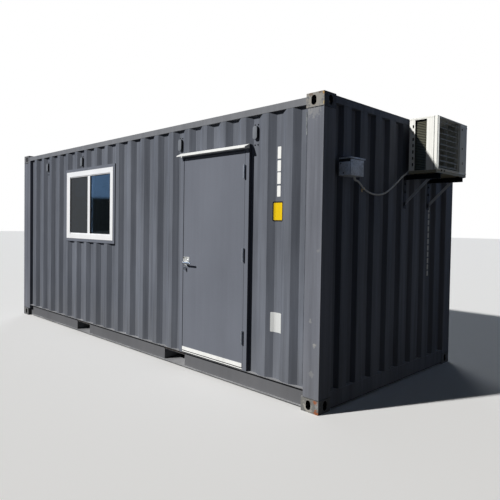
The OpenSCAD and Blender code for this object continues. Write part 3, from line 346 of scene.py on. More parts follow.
GREY, CASTING_GREY = colour(115, 118, 127), colour(112, 113, 116)
PALE, RUST, BROWN = (160, 160, 158), (158, 84, 34), (92, 66, 44)
SMALL_DENTS, FAINT_DENTS = 0.0003, 0.0002
POST_SCUFFS = [
    ((2.93, FRONT, 2.47), 0.09, PALE, 0.35), ((2.87, FRONT, 2.43), 0.05, PALE, 0.3),
    ((2.98, FRONT, 0.558), 0.022, PALE, 0.8), ((2.93, FRONT, 0.75), 0.018, PALE, 0.4),
    ((3.0, FRONT, 1.32), 0.02, PALE, 0.25), ((2.95, FRONT, 0.32), 0.03, PALE, 0.3)]
TOP_CASTING_WEAR = [
    ((2.94, FRONT, 2.54), 0.16, (156, 153, 146), 0.8), ((3.027, FRONT, 2.575), 0.022, (176, 136, 72), 0.8),
    ((2.9, FRONT, 2.59), 0.03, BROWN, 0.6), ((3.028, FRONT, 2.5), 0.016, (190, 168, 120), 0.7),
    ((2.99, FRONT, 2.59), 0.02, BROWN, 0.7)]
BOTTOM_CASTING_WEAR = [
    ((2.94, FRONT, 0.06), 0.13, (132, 130, 123), 0.5), ((2.925, FRONT, 0.045), 0.055, (200, 196, 188), 0.4),
    ((3.01, FRONT, 0.075), 0.035, (170, 172, 172), 0.4), ((2.994, FRONT, 0.093), 0.022, RUST, 0.8),
    ((3.006, FRONT, 0.012), 0.028, RUST, 0.8)]

container_paint = steel_paint("container_paint", colour(105, 109, 118), fade=0.7, streaks=0.8)
# Painted shade: the wall slopes that face +X, away from the key light, are darkened.
darken(container_paint, painted_shade_slopes, colour(64, 68, 78), 0.32)
top_rail_paint = steel_paint("top_rail_paint", colour(124, 126, 131), streaks=0.3, dust=0.8, worn=0.4)
post_paint = steel_paint("post_paint", GREY, worn=0.5, patches=POST_SCUFFS)
top_casting_paint = steel_paint(
    "top_casting_paint", CASTING_GREY, fade=0.9, streaks=0.5, worn=1.0, rubbed=(136, 104, 62), rusty=0.15,
    size=22, patches=TOP_CASTING_WEAR)
# Painted shade on the castings' faces that look along +X.
darken(top_casting_paint, lambda tree: span(tree, facing(tree, "X"), 0.6, 0.8), colour(66, 69, 78), 0.8)
painted_hollow_shade(top_casting_paint, 2.4745, 2.5895)
bottom_casting_paint = steel_paint(
    "bottom_casting_paint", colour(112, 113, 115), fade=0.8, foot_dirt=0.2, worn=0.8,
    rubbed=(196, 194, 188), rusty=0.15, size=22, patches=BOTTOM_CASTING_WEAR)
painted_hollow_shade(bottom_casting_paint, 0.001, 0.1165)
rail_paint = steel_paint(
    "rail_paint", colour(104, 105, 109), streaks=0.15, foot_dirt=0.12, dust=1.0, rusty=0.08, size=12,
    worn=0.9, rubbed=(188, 188, 188))
roof_paint = steel_paint("roof_paint", GREY, fade=0.8, streaks=0.2, dust=0.5, rusty=0.25)
door_paint = steel_paint(
    "door_paint", colour(112, 116, 126), fade=0.35, streaks=0.12, foot_dirt=0.05, dents=0.0006)
vent_paint = steel_paint(
    "vent_paint", colour(121, 125, 132), fade=0.3, streaks=0.3, dust=0.2, dents=SMALL_DENTS)
# Painted shade: the faces of the vent covers and of the door's parts that look along +X are darkened.
for shaded, tint, share in ((vent_paint, (30, 32, 36), 0.95), (door_paint, (40, 42, 48), 0.75)):
    darken(shaded, lambda tree: span(tree, facing(tree, "X"), 0.5, 0.7), colour(*tint), share)
white_paint = steel_paint(
    "white_paint", colour(246, 247, 246), fade=0.25, streaks=0.3, foot_dirt=0.15, dust=0.1, dents=SMALL_DENTS)
faded_white = steel_paint(
    "faded_white", colour(200, 202, 202), fade=0.9, streaks=0.9, foot_dirt=0, dust=0, dents=FAINT_DENTS)
yellow_paint = steel_paint(
    "yellow_paint", colour(238, 200, 24), fade=0.5, streaks=0.4, foot_dirt=0, dust=0, dents=FAINT_DENTS)
black_paint = steel_paint(
    "black_paint", colour(30, 30, 32), fade=0.4, streaks=0.4, dust=0.3, dents=SMALL_DENTS)
weld_paint = steel_paint("weld_paint", colour(74, 75, 78), fade=0.5, dust=0.3)
dark_paint = steel_paint(
    "dark_paint", colour(46, 47, 50), fade=0.4, streaks=0.3, dust=0.3, rusty=0.1, size=20)
panel_paint = steel_paint(
    "panel_paint", colour(232, 236, 240), fade=0.4, streaks=0.2, dust=0.2, dents=FAINT_DENTS)
panel_seam = steel_paint("panel_seam", colour(120, 122, 122), dust=0.2, dents=FAINT_DENTS)
louvre_paint = steel_paint(
    "louvre_paint", colour(204, 207, 206), fade=0.4, streaks=0.2, dust=0.6, dents=FAINT_DENTS)

# The bracket's one paint is darkened as painted shade: black along its arms under the casing and dark on its
# legs by the wall, with its struts left pale.
bracket_paint = steel_paint(
    "bracket_paint", colour(186, 191, 202), fade=0.4, streaks=0.3, dust=0.3, rusty=0.1, size=20)
darken(bracket_paint, lambda tree: span(tree, along(tree, "Z"), 1.975, 1.985), colour(16, 16, 18))
darken(bracket_paint, lambda tree: span(tree, along(tree, "X"), 3.05, 3.04), colour(52, 54, 60), 0.95)


def waves(tree, value, pitch):
    """Even waves from -1 to 1, one for each pitch in metres."""
    return sums(tree, "SINE", times(tree, value, 2 * math.pi / pitch))


def make_casing_enamel():
    """White enamel on the casing, with a bare dull base pan below, whose beige tint is partly a painted
    reflection of the ground, and faint upright ribs in the sides.
    """
    pan_height, rib_pitch = 0.026, 0.026
    made, tree, shader = finish_named("casing_enamel")
    coat = use(tree, weather, colour=colour(245, 245, 240), fade=0.3, streaks=0.4, foot_dirt=0, dust=0.2)
    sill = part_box("ac_casing")[0].z + pan_height
    pan = span(tree, along(tree, "Z"), sill + 0.001, sill)
    # The pan's beige is partly painted reflection of the ground.
    tree.links.new(blend(tree, pan, coat["Colour"], colour(150, 142, 120)), shader["Base Color"])
    tree.links.new(coat["Roughness"], shader["Roughness"])
    shader["Specular IOR Level"].default_value = 0.35
    ribs = span(tree, waves(tree, along(tree, "X"), rib_pitch), 0.6, 1.0)
    side = span(tree, sums(tree, "ABSOLUTE", facing(tree, "Y")), 0.8, 0.9)
    bump(tree, shader, times(tree, ribs, side), 0.001)
    return made


def make_plain(name, base, rough, grain=0.0, grain_scale=300, metal=0.0, vary=0.1, shine=0.5):
    """A moulded or bare material with a fine grain and a little variation."""
    made, tree, shader = finish_named(name)
    cloud = span(tree, noise(tree, 4, detail=4), 0.3, 0.7, 1 - vary, 1 + vary)
    tree.links.new(toned(tree, base, cloud), shader["Base Color"])
    dull = span(tree, noise(tree, 11, detail=5), 0.3, 0.7, rough - 0.07, rough + 0.07)
    tree.links.new(dull, shader["Roughness"])
    shader["Metallic"].default_value = metal
    shader["Specular IOR Level"].default_value = shine
    if grain:
        bump(tree, shader, noise(tree, grain_scale, detail=2), grain)
    return made


def make_lock_metal():
    """Bright roses on guard plates. Each plate is bright steel above a set height, as a painted highlight,
    and takes the door's colour below it, as painted shade under the lever.
    """
    lever_x, lever_z, rose, highlight_foot = 1.317, 1.124, 0.0335, 1.102
    made, tree, shader = finish_named("lock_metal")
    wide = sums(tree, "SUBTRACT", along(tree, "X"), lever_x)
    tall = sums(tree, "SUBTRACT", along(tree, "Z"), lever_z)
    away = sums(tree, "SQRT", sums(tree, "ADD", times(tree, wide, wide), times(tree, tall, tall)))
    # Painted highlight on the plate above this height, and painted shade below it.
    plate_highlight = span(tree, along(tree, "Z"), highlight_foot - 0.001, highlight_foot + 0.001)
    bright = sums(tree, "MAXIMUM", span(tree, away, rose + 0.0005, rose), plate_highlight)
    cloud = span(tree, noise(tree, 38, detail=3), 0.35, 0.62, 0.5, 1.08)
    shade = blend(tree, bright, colour(108, 112, 122), colour(226, 226, 222))
    tree.links.new(toned(tree, shade, cloud), shader["Base Color"])
    tree.links.new(span(tree, bright, 0, 1, 0.55, 0.34), shader["Roughness"])
    tree.links.new(span(tree, bright, 0, 1, 0.0, 0.4), shader["Metallic"])
    shader["Specular IOR Level"].default_value = 0.2
    return made


def make_zinc(name, base, metal):
    """Zinc coating with its crystal flakes and white bloom."""
    made, tree, shader = finish_named(name)
    flakes = put(tree, "TexVoronoi", {"Vector": place(tree), "Scale": 90.0}).outputs["Color"]
    tone = span(tree, put(tree, "SeparateColor", {0: flakes}).outputs[0], 0, 1, 0.82, 1.1)
    tone = times(tree, tone, span(tree, noise(tree, 16, detail=5), 0.35, 0.7, 0.8, 1.15))
    tree.links.new(toned(tree, base, tone), shader["Base Color"])
    tree.links.new(span(tree, tone, 0.7, 1.2, 0.62, 0.42), shader["Roughness"])
    shader["Metallic"].default_value = metal
    return made


def make_plywood():
    """Hardwood plywood deck with long grain, board joints and worn lanes."""
    half_board, half_joint = 0.61, 0.002
    made, tree, shader = finish_named("deck_plywood")
    grain = noise(tree, 30, (0.25, 3.0, 1), 6, 0.65)
    wood = blend(tree, span(tree, grain, 0.3, 0.7), colour(126, 88, 54), colour(176, 134, 88))
    sheet = sums(tree, "PINGPONG", along(tree, "X"), half_board)
    joint = span(tree, sheet, half_joint * 2, half_joint)
    worn = span(tree, noise(tree, 1.3, detail=5), 0.45, 0.7)
    wood = blend(tree, times(tree, worn, 0.35), wood, colour(110, 98, 84))
    tree.links.new(blend(tree, joint, wood, colour(40, 32, 26)), shader["Base Color"])
    tree.links.new(span(tree, grain, 0.2, 0.8, 0.5, 0.7), shader["Roughness"])
    bump(tree, shader, sums(tree, "SUBTRACT", times(tree, grain, 0.2), joint), 0.001)
    return made


def make_coil():
    """Thin upright fins crossed by rows of tube. The face toward the grille is near white as painted light,
    to lift it in the shade behind the grille, and the side is dark olive.
    """
    tube_pitch, fin_pitch = 0.0155, 0.003
    made, tree, shader = finish_named("coil_fins")
    rows = waves(tree, along(tree, "Z"), tube_pitch)
    fins = waves(tree, sums(tree, "ADD", along(tree, "X"), along(tree, "Y")), fin_pitch)
    side = blend(tree, span(tree, rows, -0.4, 0.9), colour(24, 23, 13), colour(80, 78, 52))
    # Painted light: the face toward the grille is made near white.
    front = blend(tree, span(tree, rows, -0.6, 0.6), colour(214, 220, 218), colour(246, 250, 248))
    shade = blend(tree, span(tree, facing(tree, "X"), 0.5, 0.8), side, front)
    shade = blend(tree, times(tree, span(tree, fins, -1, 1), 0.2), shade, colour(60, 60, 52))
    tree.links.new(shade, shader["Base Color"])
    tree.links.new(span(tree, rows, -1, 1, 0.6, 0.45), shader["Roughness"])
    shader["Metallic"].default_value = 0.3
    bump(tree, shader, rows, 0.002)
    return made


def make_glass():
    made, _, shader = finish_named("window_glass")
    shader["Base Color"].default_value = colour(196, 214, 224)
    shader["Roughness"].default_value = 0.02
    shader["Transmission Weight"].default_value = 1.0
    shader["IOR"].default_value = 1.6
    shader["Specular Tint"].default_value = (0.7, 1, 1, 1)
    return made


def make_mesh_screen():
    """Fine grey insect mesh, half see-through."""
    made, tree, shader = finish_named("insect_mesh")
    weave = noise(tree, 900, detail=1)
    tree.links.new(blend(tree, weave, colour(52, 55, 58), colour(78, 81, 84)), shader["Base Color"])
    shader["Roughness"].default_value = 0.8
    shader["Specular IOR Level"].default_value = 0.2
    shader["Alpha"].default_value = 0.62
    return made


casing_enamel = make_casing_enamel()
white_plastic = make_plain("white_plastic", colour(243, 244, 246), 0.4, 0.0001, vary=0.03, shine=0.4)
rubber = make_plain("seal_rubber", colour(30, 30, 31), 0.8, 0.0002, shine=0.3)
sealant = make_plain("pale_sealant", colour(152, 156, 156), 0.7, 0.0004, 60, vary=0.25, shine=0.3)
conduit_plastic = make_plain("conduit_plastic", colour(196, 197, 198), 0.6, shine=0.3)
tan_plastic = make_plain("tan_plastic", colour(250, 228, 186), 0.5)
stainless = make_plain("stainless", colour(214, 213, 208), 0.3, metal=1.0)
lock_metal = make_lock_metal()
zinc = make_zinc("zinc_coating", colour(138, 141, 146), 0.35)
box_zinc = make_zinc("box_zinc", colour(206, 211, 220), 0.05)
plywood = make_plywood()
coil_fins = make_coil()
window_glass = make_glass()
insect_mesh = make_mesh_screen()

# The walls, the blind end and the cargo doors aren't listed, and get the container paint.
NODE_FINISH = {
    "bottom_castings": bottom_casting_paint, "top_castings": top_casting_paint, "corner_posts": post_paint,
    "bottom_side_rails": rail_paint, "top_side_rails": top_rail_paint, "crossmembers": rail_paint,
    "fork_pockets": rail_paint, "floor_deck": plywood, "window_surround": door_paint,
    "door_end_frame": rail_paint, "roof_panel": roof_paint, "window_frame": white_plastic,
    "window_sashes": white_plastic, "window_glass": window_glass, "door_frame": door_paint,
    "door_stops": door_paint, "door_canopy": white_paint, "hinge_jamb_leaves": zinc,
    "hinge_door_leaves": zinc, "door_leaf": door_paint, "door_sweep": white_paint,
    "lock_roses": lock_metal, "lever_handle": stainless, "ac_casing": casing_enamel,
    "ac_coil": coil_fins, "ac_grille": louvre_paint, "ac_brackets": bracket_paint,
    "junction_box": box_zinc, "conduit": conduit_plastic, "conduit_elbows": conduit_plastic,
    "conduit_clip": tan_plastic, "cargo_door_gaskets": rubber, "cargo_door_hinges": rail_paint,
    "cargo_lock_rods": zinc, "cargo_rod_brackets": rail_paint,
}


def dress_nodes():
    for name, piece in frame["nodes"].items():
        piece.data.materials.clear()
        piece.data.materials.append(NODE_FINISH.get(name, container_paint))


dress_nodes()


# Modelling
def deselect():
    ops.object.select_all(action="DESELECT")


def alone(piece):
    """Selects one piece and nothing else."""
    deselect()
    piece.select_set(True)
    bpy.context.view_layer.objects.active = piece
    return piece


def settle(piece):
    """Puts the piece's place, turn and size into its mesh."""
    alone(piece)
    ops.object.transform_apply(location=True, rotation=True, scale=True)
    return piece


def block(low, high):
    """A box between two corners."""
    deselect()
    ops.mesh.primitive_cube_add(size=1, location=[(a + b) / 2 for a, b in zip(low, high)])
    bpy.context.object.scale = [b - a for a, b in zip(low, high)]
    return settle(bpy.context.object)


def stud(sides, radius, depth, lift=0.0):
    """A cylinder that faces -Y and stands on the plane Y = 0, or off it by a lift."""
    deselect()
    ops.mesh.primitive_cylinder_add(
        vertices=sides, radius=radius, depth=depth, location=(0, -depth / 2 - lift, 0),
        rotation=(math.pi / 2, 0, 0))
    return settle(bpy.context.object)


SHAPED = {"FACE": "polygons", "EDGE": "edges", "VERT": "vertices"}


def open_parts(piece, kind, test):
    """Opens a piece for shaping with only those of its faces, edges or points selected that pass a test."""
    alone(piece)
    ops.object.mode_set(mode="EDIT")
    ops.mesh.select_mode(type=kind)
    ops.mesh.select_all(action="DESELECT")
    ops.object.mode_set(mode="OBJECT")
    for part in getattr(piece.data, SHAPED[kind]):
        part.select = test(part)
    ops.object.mode_set(mode="EDIT")


def open_faces(piece, test):
    """Opens a piece with the faces selected whose middle and normal pass a test."""
    open_parts(piece, "FACE", lambda face: test(face.center, face.normal))


def open_edges(piece, test):
    """Opens a piece with the edges selected whose two ends pass a test."""
    open_parts(piece, "EDGE", lambda edge: test(*(piece.data.vertices[i].co for i in edge.vertices)))


def close(piece):
    ops.object.mode_set(mode="OBJECT")
    return piece


def turned(piece, degrees):
    """Turns a piece about the upright axis through the origin."""
    alone(piece)
    piece.rotation_euler.z = math.radians(degrees)
    return settle(piece)


def joined(pieces):
    deselect()
    for piece in pieces:
        piece.select_set(True)
    bpy.context.view_layer.objects.active = pieces[0]
    ops.object.join()
    return bpy.context.object


def copied(piece):
    alone(piece)
    ops.object.duplicate(linked=False)
    return bpy.context.object


def spread(piece, places):
    """Copies a piece that was modelled at the origin to each place, and joins the copies."""
    made = []
    for spot in places:
        copy = copied(piece)
        ops.transform.translate(value=spot)
        made.append(settle(copy))
    alone(piece)
    ops.object.delete()
    return joined(made)


def keep(piece, name, finish, body="cabin", smooth=35):
    """Names a finished piece, gives it its finish and hangs it on a body."""
    settle(piece)
    if smooth:
        ops.object.shade_smooth_by_angle(angle=math.radians(smooth))
    piece.name = name
    piece.data.name = name
    piece.data.materials.clear()
    piece.data.materials.append(finish)
    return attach(piece, body)


def upright(axis):
    """A test for edges that run along one axis."""
    return lambda a, b: abs((b - a).normalized()["XYZ".index(axis)]) > 0.99


def ahead(centre, normal):
    """A test for faces that look along -Y."""
    return normal.y < -0.9


def rounded_plate(low, high, corner, thin="Y", ease=0.0):
    """A thin plate with round corners and an eased outer rim."""
    piece = block(low, high)
    open_edges(piece, upright(thin))
    ops.mesh.bevel(offset=corner, segments=5, affect="EDGES")
    close(piece)
    if ease:
        k = "XYZ".index(thin)
        outward = 1 if thin == "X" else -1
        open_faces(piece, lambda c, n: n[k] * outward > 0.9)
        ops.mesh.bevel(offset=ease, segments=2, affect="EDGES")
        close(piece)
    return piece


def hoop(low, high, bar, thin="Y"):
    """A flat frame on a wall, cut from a plate and bridged through."""
    piece = block(low, high)
    k = "XYZ".index(thin)
    open_faces(piece, lambda c, n: abs(n[k]) > 0.9)
    ops.mesh.inset(thickness=bar)
    ops.mesh.bridge_edge_loops()
    ops.mesh.select_all(action="SELECT")
    ops.mesh.normals_make_consistent(inside=False)
    return close(piece)


def dome_rivet(radius, height):
    """A domed rivet head that stands on the plane Y = 0 and faces -Y."""
    piece = stud(12, radius, height)
    open_faces(piece, ahead)
    ops.mesh.bevel(offset=height * 0.85, segments=3, affect="EDGES")
    return close(piece)


def hex_bolt(radius, height):
    """A hexagon head on a round washer that stands on the plane Y = 0 and faces -Y."""
    washer = 0.002
    head = stud(6, radius, height, washer)
    open_faces(head, ahead)
    ops.mesh.bevel(offset=height * 0.18, segments=1, affect="EDGES")
    close(head)
    return joined([head, stud(20, radius * 1.5, washer)])


def bead(start, end, radius, seed):
    """A bead of weld or sealant between two points, with an uneven skin."""
    start, end = Vector(start), Vector(end)
    run = end - start
    cuts = min(90, max(3, int(run.length / (radius * 2.2))))
    deselect()
    ops.mesh.primitive_cylinder_add(
        vertices=8, radius=radius, depth=run.length, location=(start + end) / 2,
        rotation=run.to_track_quat("Z", "Y").to_euler())
    piece = settle(bpy.context.object)
    way = run.normalized()
    open_edges(piece, lambda a, b: abs((b - a).normalized().dot(way)) > 0.99)
    ops.mesh.subdivide(number_cuts=cuts)
    ops.mesh.select_all(action="SELECT")
    ops.transform.vertex_random(offset=radius * 0.45, uniform=0.2, normal=0.8, seed=seed)
    return close(piece)


# Walls and frame
FLOOR_LEFT, FLOOR_RIGHT = 2.4995, 2.567
MARK_PROUD, SAME_PLACE = 0.0006, 1e-5


def valley_mark(left, right, foot, top, corner, lift=MARK_PROUD):
    """A thin painted or stuck mark on the valley right of the door. Its ends climb the slopes beside it."""
    low, high = max(left, FLOOR_LEFT), min(right, FLOOR_RIGHT)
    deselect()
    ops.mesh.primitive_plane_add(size=1, rotation=(math.pi / 2, 0, 0))
    piece = settle(bpy.context.object)
    piece.scale = (high - low, 1, top - foot)
    piece.location = ((low + high) / 2, VALLEY - lift, (top + foot) / 2)
    settle(piece)
    for edge, end in ((low, left), (high, right)):
        if abs(end - edge) > SAME_PLACE * 10:
            open_edges(piece, lambda a, b: max(abs(a.x - edge), abs(b.x - edge)) < SAME_PLACE)
            climb = (end - edge, -abs(end - edge) / 2, 0)
            ops.mesh.extrude_region_move(TRANSFORM_OT_translate={"value": climb})
            close(piece)
    open_parts(piece, "VERT", lambda point: min(abs(point.co.x - left), abs(point.co.x - right)) < SAME_PLACE)
    ops.mesh.bevel(offset=corner, segments=4, affect="VERTICES")
    return close(piece)


def make_wall_marks():
    """Plain painted bars and bare plates where the wall carries its markings."""
    bars = [valley_mark(2.514, 2.553, foot, top, 0.004) for foot, top in (
        (2.099, 2.203), (1.99, 2.085), (1.881, 1.981), (1.771, 1.866))]
    keep(joined(bars), "painted_bars", white_paint, smooth=0)
    rim = valley_mark(2.475, 2.593, 1.556, 1.729, 0.012)
    keep(rim, "yellow_plate_rim", black_paint, smooth=0)
    face = valley_mark(2.485, 2.583, 1.567, 1.718, 0.008, lift=MARK_PROUD * 2)
    keep(face, "yellow_plate_face", yellow_paint, smooth=0)
    card = valley_mark(2.471, 2.598, 0.587, 0.76, 0.006)
    keep(card, "white_plate", faded_white, smooth=0)


def make_end_marks():
    """A faded column of short painted bars on a crest of the end wall."""
    count, first_top, pitch, length = 11, 1.738, 0.067, 0.054
    crest, near, far = 3.0198, 0.643, 0.672
    bars = []
    for i in range(count):
        top = first_top - i * pitch
        bars.append(rounded_plate((crest, near, top - length), (3.0206, far, top), 0.004, thin="X"))
    keep(joined(bars), "end_bars", faded_white)


VENT_XS = (-2.176, -1.068, 1.148, 2.256)


def make_vents():
    """Pressed vent covers with round ends and a mouth at the foot, and their rivets, on both long walls."""
    low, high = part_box("wall_vents")
    foot, top, width, depth = low.z + 0.025, high.z - 0.019, 0.056, 0.028
    cover = block((-width / 2, -depth, foot), (width / 2, 0, top))
    open_edges(cover, upright("Y"))
    ops.mesh.bevel(offset=width * 0.46, segments=6, affect="EDGES")
    close(cover)
    open_faces(cover, ahead)
    ops.mesh.bevel(offset=0.004, segments=3, affect="EDGES")
    close(cover)
    open_faces(cover, lambda c, n: n.z < -0.9)
    ops.mesh.inset(thickness=0.0015)
    # An extrusion would order these faces anew in each run, and a second inset doesn't.
    ops.mesh.inset(thickness=0)
    ops.transform.translate(value=(0, 0, 0.04))
    close(cover)
    rivets = spread(dome_rivet(0.0075, 0.005), [
        (x, -0.0005, z) for z in (foot - 0.046, top + 0.01) for x in (-0.019, 0.019)])
    for name, piece, finish in (("vent_covers", cover, vent_paint), ("vent_rivets", rivets, black_paint)):
        behind = turned(copied(piece), 180)
        walls = ((piece, VALLEY), (behind, -VALLEY))
        both = joined([spread(one, [(x, plane, 0) for x in VENT_XS]) for one, plane in walls])
        keep(both, name, finish)
        if name == "vent_covers":
            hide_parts("wall_vents")


def make_welds():
    """Weld beads where the castings meet the posts, and the sealed seam beside the near post."""
    size, inner_x, outer_x, inner_y, outer_y = 0.0035, 2.872, 3.024, 1.062, 1.214
    beads = []
    for k, (sx, sy) in enumerate(((-1, -1), (1, -1), (-1, 1), (1, 1))):
        face_y, face_x = sy * (1.2135 if sy > 0 else 1.2195), sx * (3.0235 if sx < 0 else 3.0295)
        for z in (0.1175, 2.4735):
            beads.append(bead((sx * inner_x, face_y, z), (sx * outer_x, face_y, z), size, 3 + k))
            beads.append(bead((face_x, sy * outer_y, z), (face_x, sy * inner_y, z), size, 11 + k))
    keep(joined(beads), "casting_welds", weld_paint)
    seam_x, seam_top, caulk_foot, seam_foot = 2.83, 2.451, 2.27, 0.2
    caulk = bead((2.826, VALLEY, seam_top), (seam_x, VALLEY, caulk_foot), 0.004, 21)
    keep(caulk, "post_caulk", sealant)
    seam = bead((seam_x, VALLEY, caulk_foot), (seam_x, VALLEY, seam_foot), 0.0022, 22)
    keep(seam, "post_seam", container_paint)


make_wall_marks()
make_end_marks()
make_vents()
make_welds()


# Window
def make_window_trim():
    """The surround's screws, the window's flange, its insect screen, its rubber beads and its weep covers."""
    left, middle, right = -1.479, -0.824, -0.169
    screws = [(x, FRONT, z) for x in (left, middle, right) for z in (1.282, 2.242)]
    screws += [(x, FRONT, 1.762) for x in (left, right)]
    keep(spread(dome_rivet(0.006, 0.0035), screws), "surround_screws", zinc)
    low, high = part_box("window_frame")
    skin, bar, back = 0.0005, 0.066, -1.2146
    flange = joined([
        hoop((low.x - skin, low.y - 0.0006, low.z - skin), (high.x + skin, back, high.z + skin), bar),
        block((low.x - 0.0003, low.y - 0.0008, low.z + 0.05), (-1.362, -1.2148, high.z - 0.05))])
    keep(flange, "window_flange", white_plastic, smooth=0)
    screen = block((-1.382, -1.2092, 1.379), (-0.858, -1.2086, 2.145))
    keep(screen, "insect_screen", insect_mesh, smooth=0)
    cord = hoop((-1.3825, -1.2155, 1.3785), (-0.8575, -1.2135, 2.1455), 0.004)
    keep(cord, "screen_spline", rubber, smooth=0)
    foot, top, rubber_width = 1.378, 2.146, 0.006
    beading = joined([
        hoop((-0.791, -1.2165, foot), (-0.265, -1.2, top), rubber_width),
        hoop((-1.383, -1.1925, foot), (-0.863, -1.18, top), rubber_width)])
    keep(beading, "glazing_beads", rubber, smooth=0)
    half_width = 0.014
    weeps = [
        rounded_plate((x - half_width, -1.2255, 1.312), (x + half_width, -1.223, 1.322), 0.002, ease=0.0008)
        for x in (-1.3, -0.36)]
    keep(joined(weeps), "weep_covers", white_plastic)


make_window_trim()


# Door
def make_lock_parts():
    """The keyed cylinder and the plate heads by the lever, and the latch parts that the open door shows."""
    barrel = rounded_plate((1.293, -1.247, 1.04), (1.31, -1.2215, 1.079), 0.0084, ease=0.0012)
    open_faces(barrel, ahead)
    ops.mesh.inset(thickness=0.004)
    ops.transform.translate(value=(0, 0.002, 0))
    keep(close(barrel), "key_cylinder", stainless, "door")
    plate_low, plate_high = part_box("lock_roses")
    heads = [(plate_low.x + 0.009, -1.2232, z) for z in (plate_high.z - 0.012, 1.112)]
    keep(spread(dome_rivet(0.006, 0.003), heads), "guard_plate_heads", rubber, "door")
    forend = rounded_plate((1.2545, -1.209, 1.03), (1.2555, -1.186, 1.21), 0.0004, thin="X")
    keep(forend, "latch_forend", stainless, "door")
    strike = hoop((1.2445, -1.206, 1.07), (1.2475, -1.182, 1.17), 0.006, thin="X")
    keep(strike, "strike_plate", stainless)


def make_threshold():
    """The bright nosing of the sill under the sweep of the door, between two dark rubber strips: the lower
    one is painted shadow under the nosing, and the upper one is a seal that also stands in for the sweep's
    shadow.
    """
    low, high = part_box("door_leaf")
    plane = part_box("door_frame")[0].y
    # The two rubber strips are painted shadow lines, the upper one also a seal.
    for name, foot, top, finish, slot in (
        ("sill_shadow_gap", 0.1802, 0.1862, rubber, "seal_rubber"),
        ("sill_nosing", 0.1862, 0.1955, white_paint, "white_paint"),
        ("sill_seal", 0.1955, 0.2035, rubber, "seal_rubber"),
    ):
        proud = 0.0022 if name == "sill_nosing" else 0.0006
        bar = block((low.x, plane - proud, foot), (high.x, plane + 0.001, top))
        if name == "sill_nosing":
            open_edges(bar, lambda a, b: a.y < plane and b.y < plane and upright("X")(a, b))
            ops.mesh.bevel(offset=0.0015, segments=2, affect="EDGES")
            close(bar)
        keep(bar, name, finish)


make_lock_parts()
make_threshold()


# Air conditioner
def make_ac_details():
    """The ports, lip, panel, grille rim, seams and screws on the front of the casing."""
    low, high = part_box("ac_casing")
    face, buried = high.x, high.x - 0.001
    ports = []
    for y, z in ((0.608, 2.499), (0.621, 2.313), (0.631, 2.168), (0.166, 2.062), (0.227, 2.062)):
        cap = stud(16, 0.011, 0.004)
        open_faces(cap, ahead)
        ops.mesh.inset(thickness=0.003)
        ops.transform.translate(value=(0, 0.003, 0))
        turned(close(cap), 90)
        cap.location = (face, y, z)
        ports.append(settle(cap))
    keep(joined(ports), "front_ports", black_paint)
    lip = rounded_plate(
        (buried, 0.553, low.z + 0.04), (face + 0.004, 0.566, high.z - 0.014), 0.002, thin="X", ease=0.001)
    keep(lip, "front_lip", panel_paint)
    panel = rounded_plate(
        (buried, 0.58, low.z + 0.05), (face + 0.0015, 0.722, high.z - 0.03), 0.01, thin="X", ease=0.0006)
    keep(panel, "service_panel", panel_paint)
    grille_low, grille_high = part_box("ac_grille")
    rim = hoop(
        (face, grille_low.y - 0.017, grille_low.z - 0.012),
        (face + 0.014, grille_high.y + 0.01, high.z - 0.008), 0.01, thin="X")
    keep(rim, "grille_rim", louvre_paint, smooth=0)
    half_seam = 0.0005
    seams = [
        block((face - 0.0345, y - half_seam, low.z + 0.03), (face - 0.0285, y + half_seam, high.z - 0.002))
        for y in (low.y + 0.0015, high.y - 0.0015)]
    keep(joined(seams), "bezel_seams", panel_seam, smooth=0)
    screws = spread(turned(hex_bolt(0.0045, 0.004), 90), [
        (face, y, z) for y in (low.y + 0.012, high.y - 0.012) for z in (low.z + 0.035, high.z - 0.03)])
    keep(screws, "casing_screws", zinc)


def make_bracket_bolts():
    low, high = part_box("ac_brackets")
    heights = (low.z + 0.05, low.z + 0.16, high.z - 0.09)
    legs = [(low.x + 0.005, y, z) for y in (0.125, 0.625) for z in heights]
    keep(spread(turned(hex_bolt(0.0085, 0.008), 90), legs), "bracket_bolts", dark_paint)


def ribbed_tube(name, points, radius, rib, pitch, sides=14, steps=40):
    """A corrugated tube along a smooth curve through the given points."""
    def on_curve(i, t):
        a, b, c, d = (Vector(points[min(max(i + k, 0), len(points) - 1)]) for k in (-1, 0, 1, 2))
        bend, swing = 2 * a - 5 * b + 4 * c - d, 3 * b - a - 3 * c + d
        return 0.5 * (2 * b + (c - a) * t + bend * t ** 2 + swing * t ** 3)

    fine = [on_curve(i, s / steps) for i in range(len(points) - 1) for s in range(steps)]
    fine.append(Vector(points[-1]))
    spots, gone = [fine[0]], 0.0
    for before, after in zip(fine, fine[1:]):
        gone += (after - before).length
        if gone >= pitch / 2:
            spots.append(after)
            gone = 0.0
    rings, faces = [], []
    for i, spot in enumerate(spots):
        way = (spots[min(i + 1, len(spots) - 1)] - spots[max(i - 1, 0)]).normalized()
        across = way.cross(Vector((1, 0, 0))).normalized()
        over = way.cross(across)
        size = radius - (rib if i % 2 else 0)
        for k in range(sides):
            turn = 2 * math.pi * k / sides
            rings.append(spot + size * (math.cos(turn) * across + math.sin(turn) * over))
    for i in range(len(spots) - 1):
        for k in range(sides):
            a, b = i * sides + k, i * sides + (k + 1) % sides
            faces.append((a, b, b + sides, a + sides))
    faces.append(tuple(range(sides - 1, -1, -1)))
    faces.append(tuple(range(len(rings) - sides, len(rings))))
    mesh = bpy.data.meshes.new(name)
    mesh.from_pydata(rings, [], faces)
    piece = bpy.data.objects.new(name, mesh)
    bpy.context.scene.collection.objects.link(piece)
    alone(piece)
    ops.object.mode_set(mode="EDIT")
    ops.mesh.select_all(action="SELECT")
    ops.mesh.normals_make_consistent(inside=False)
    return close(piece)


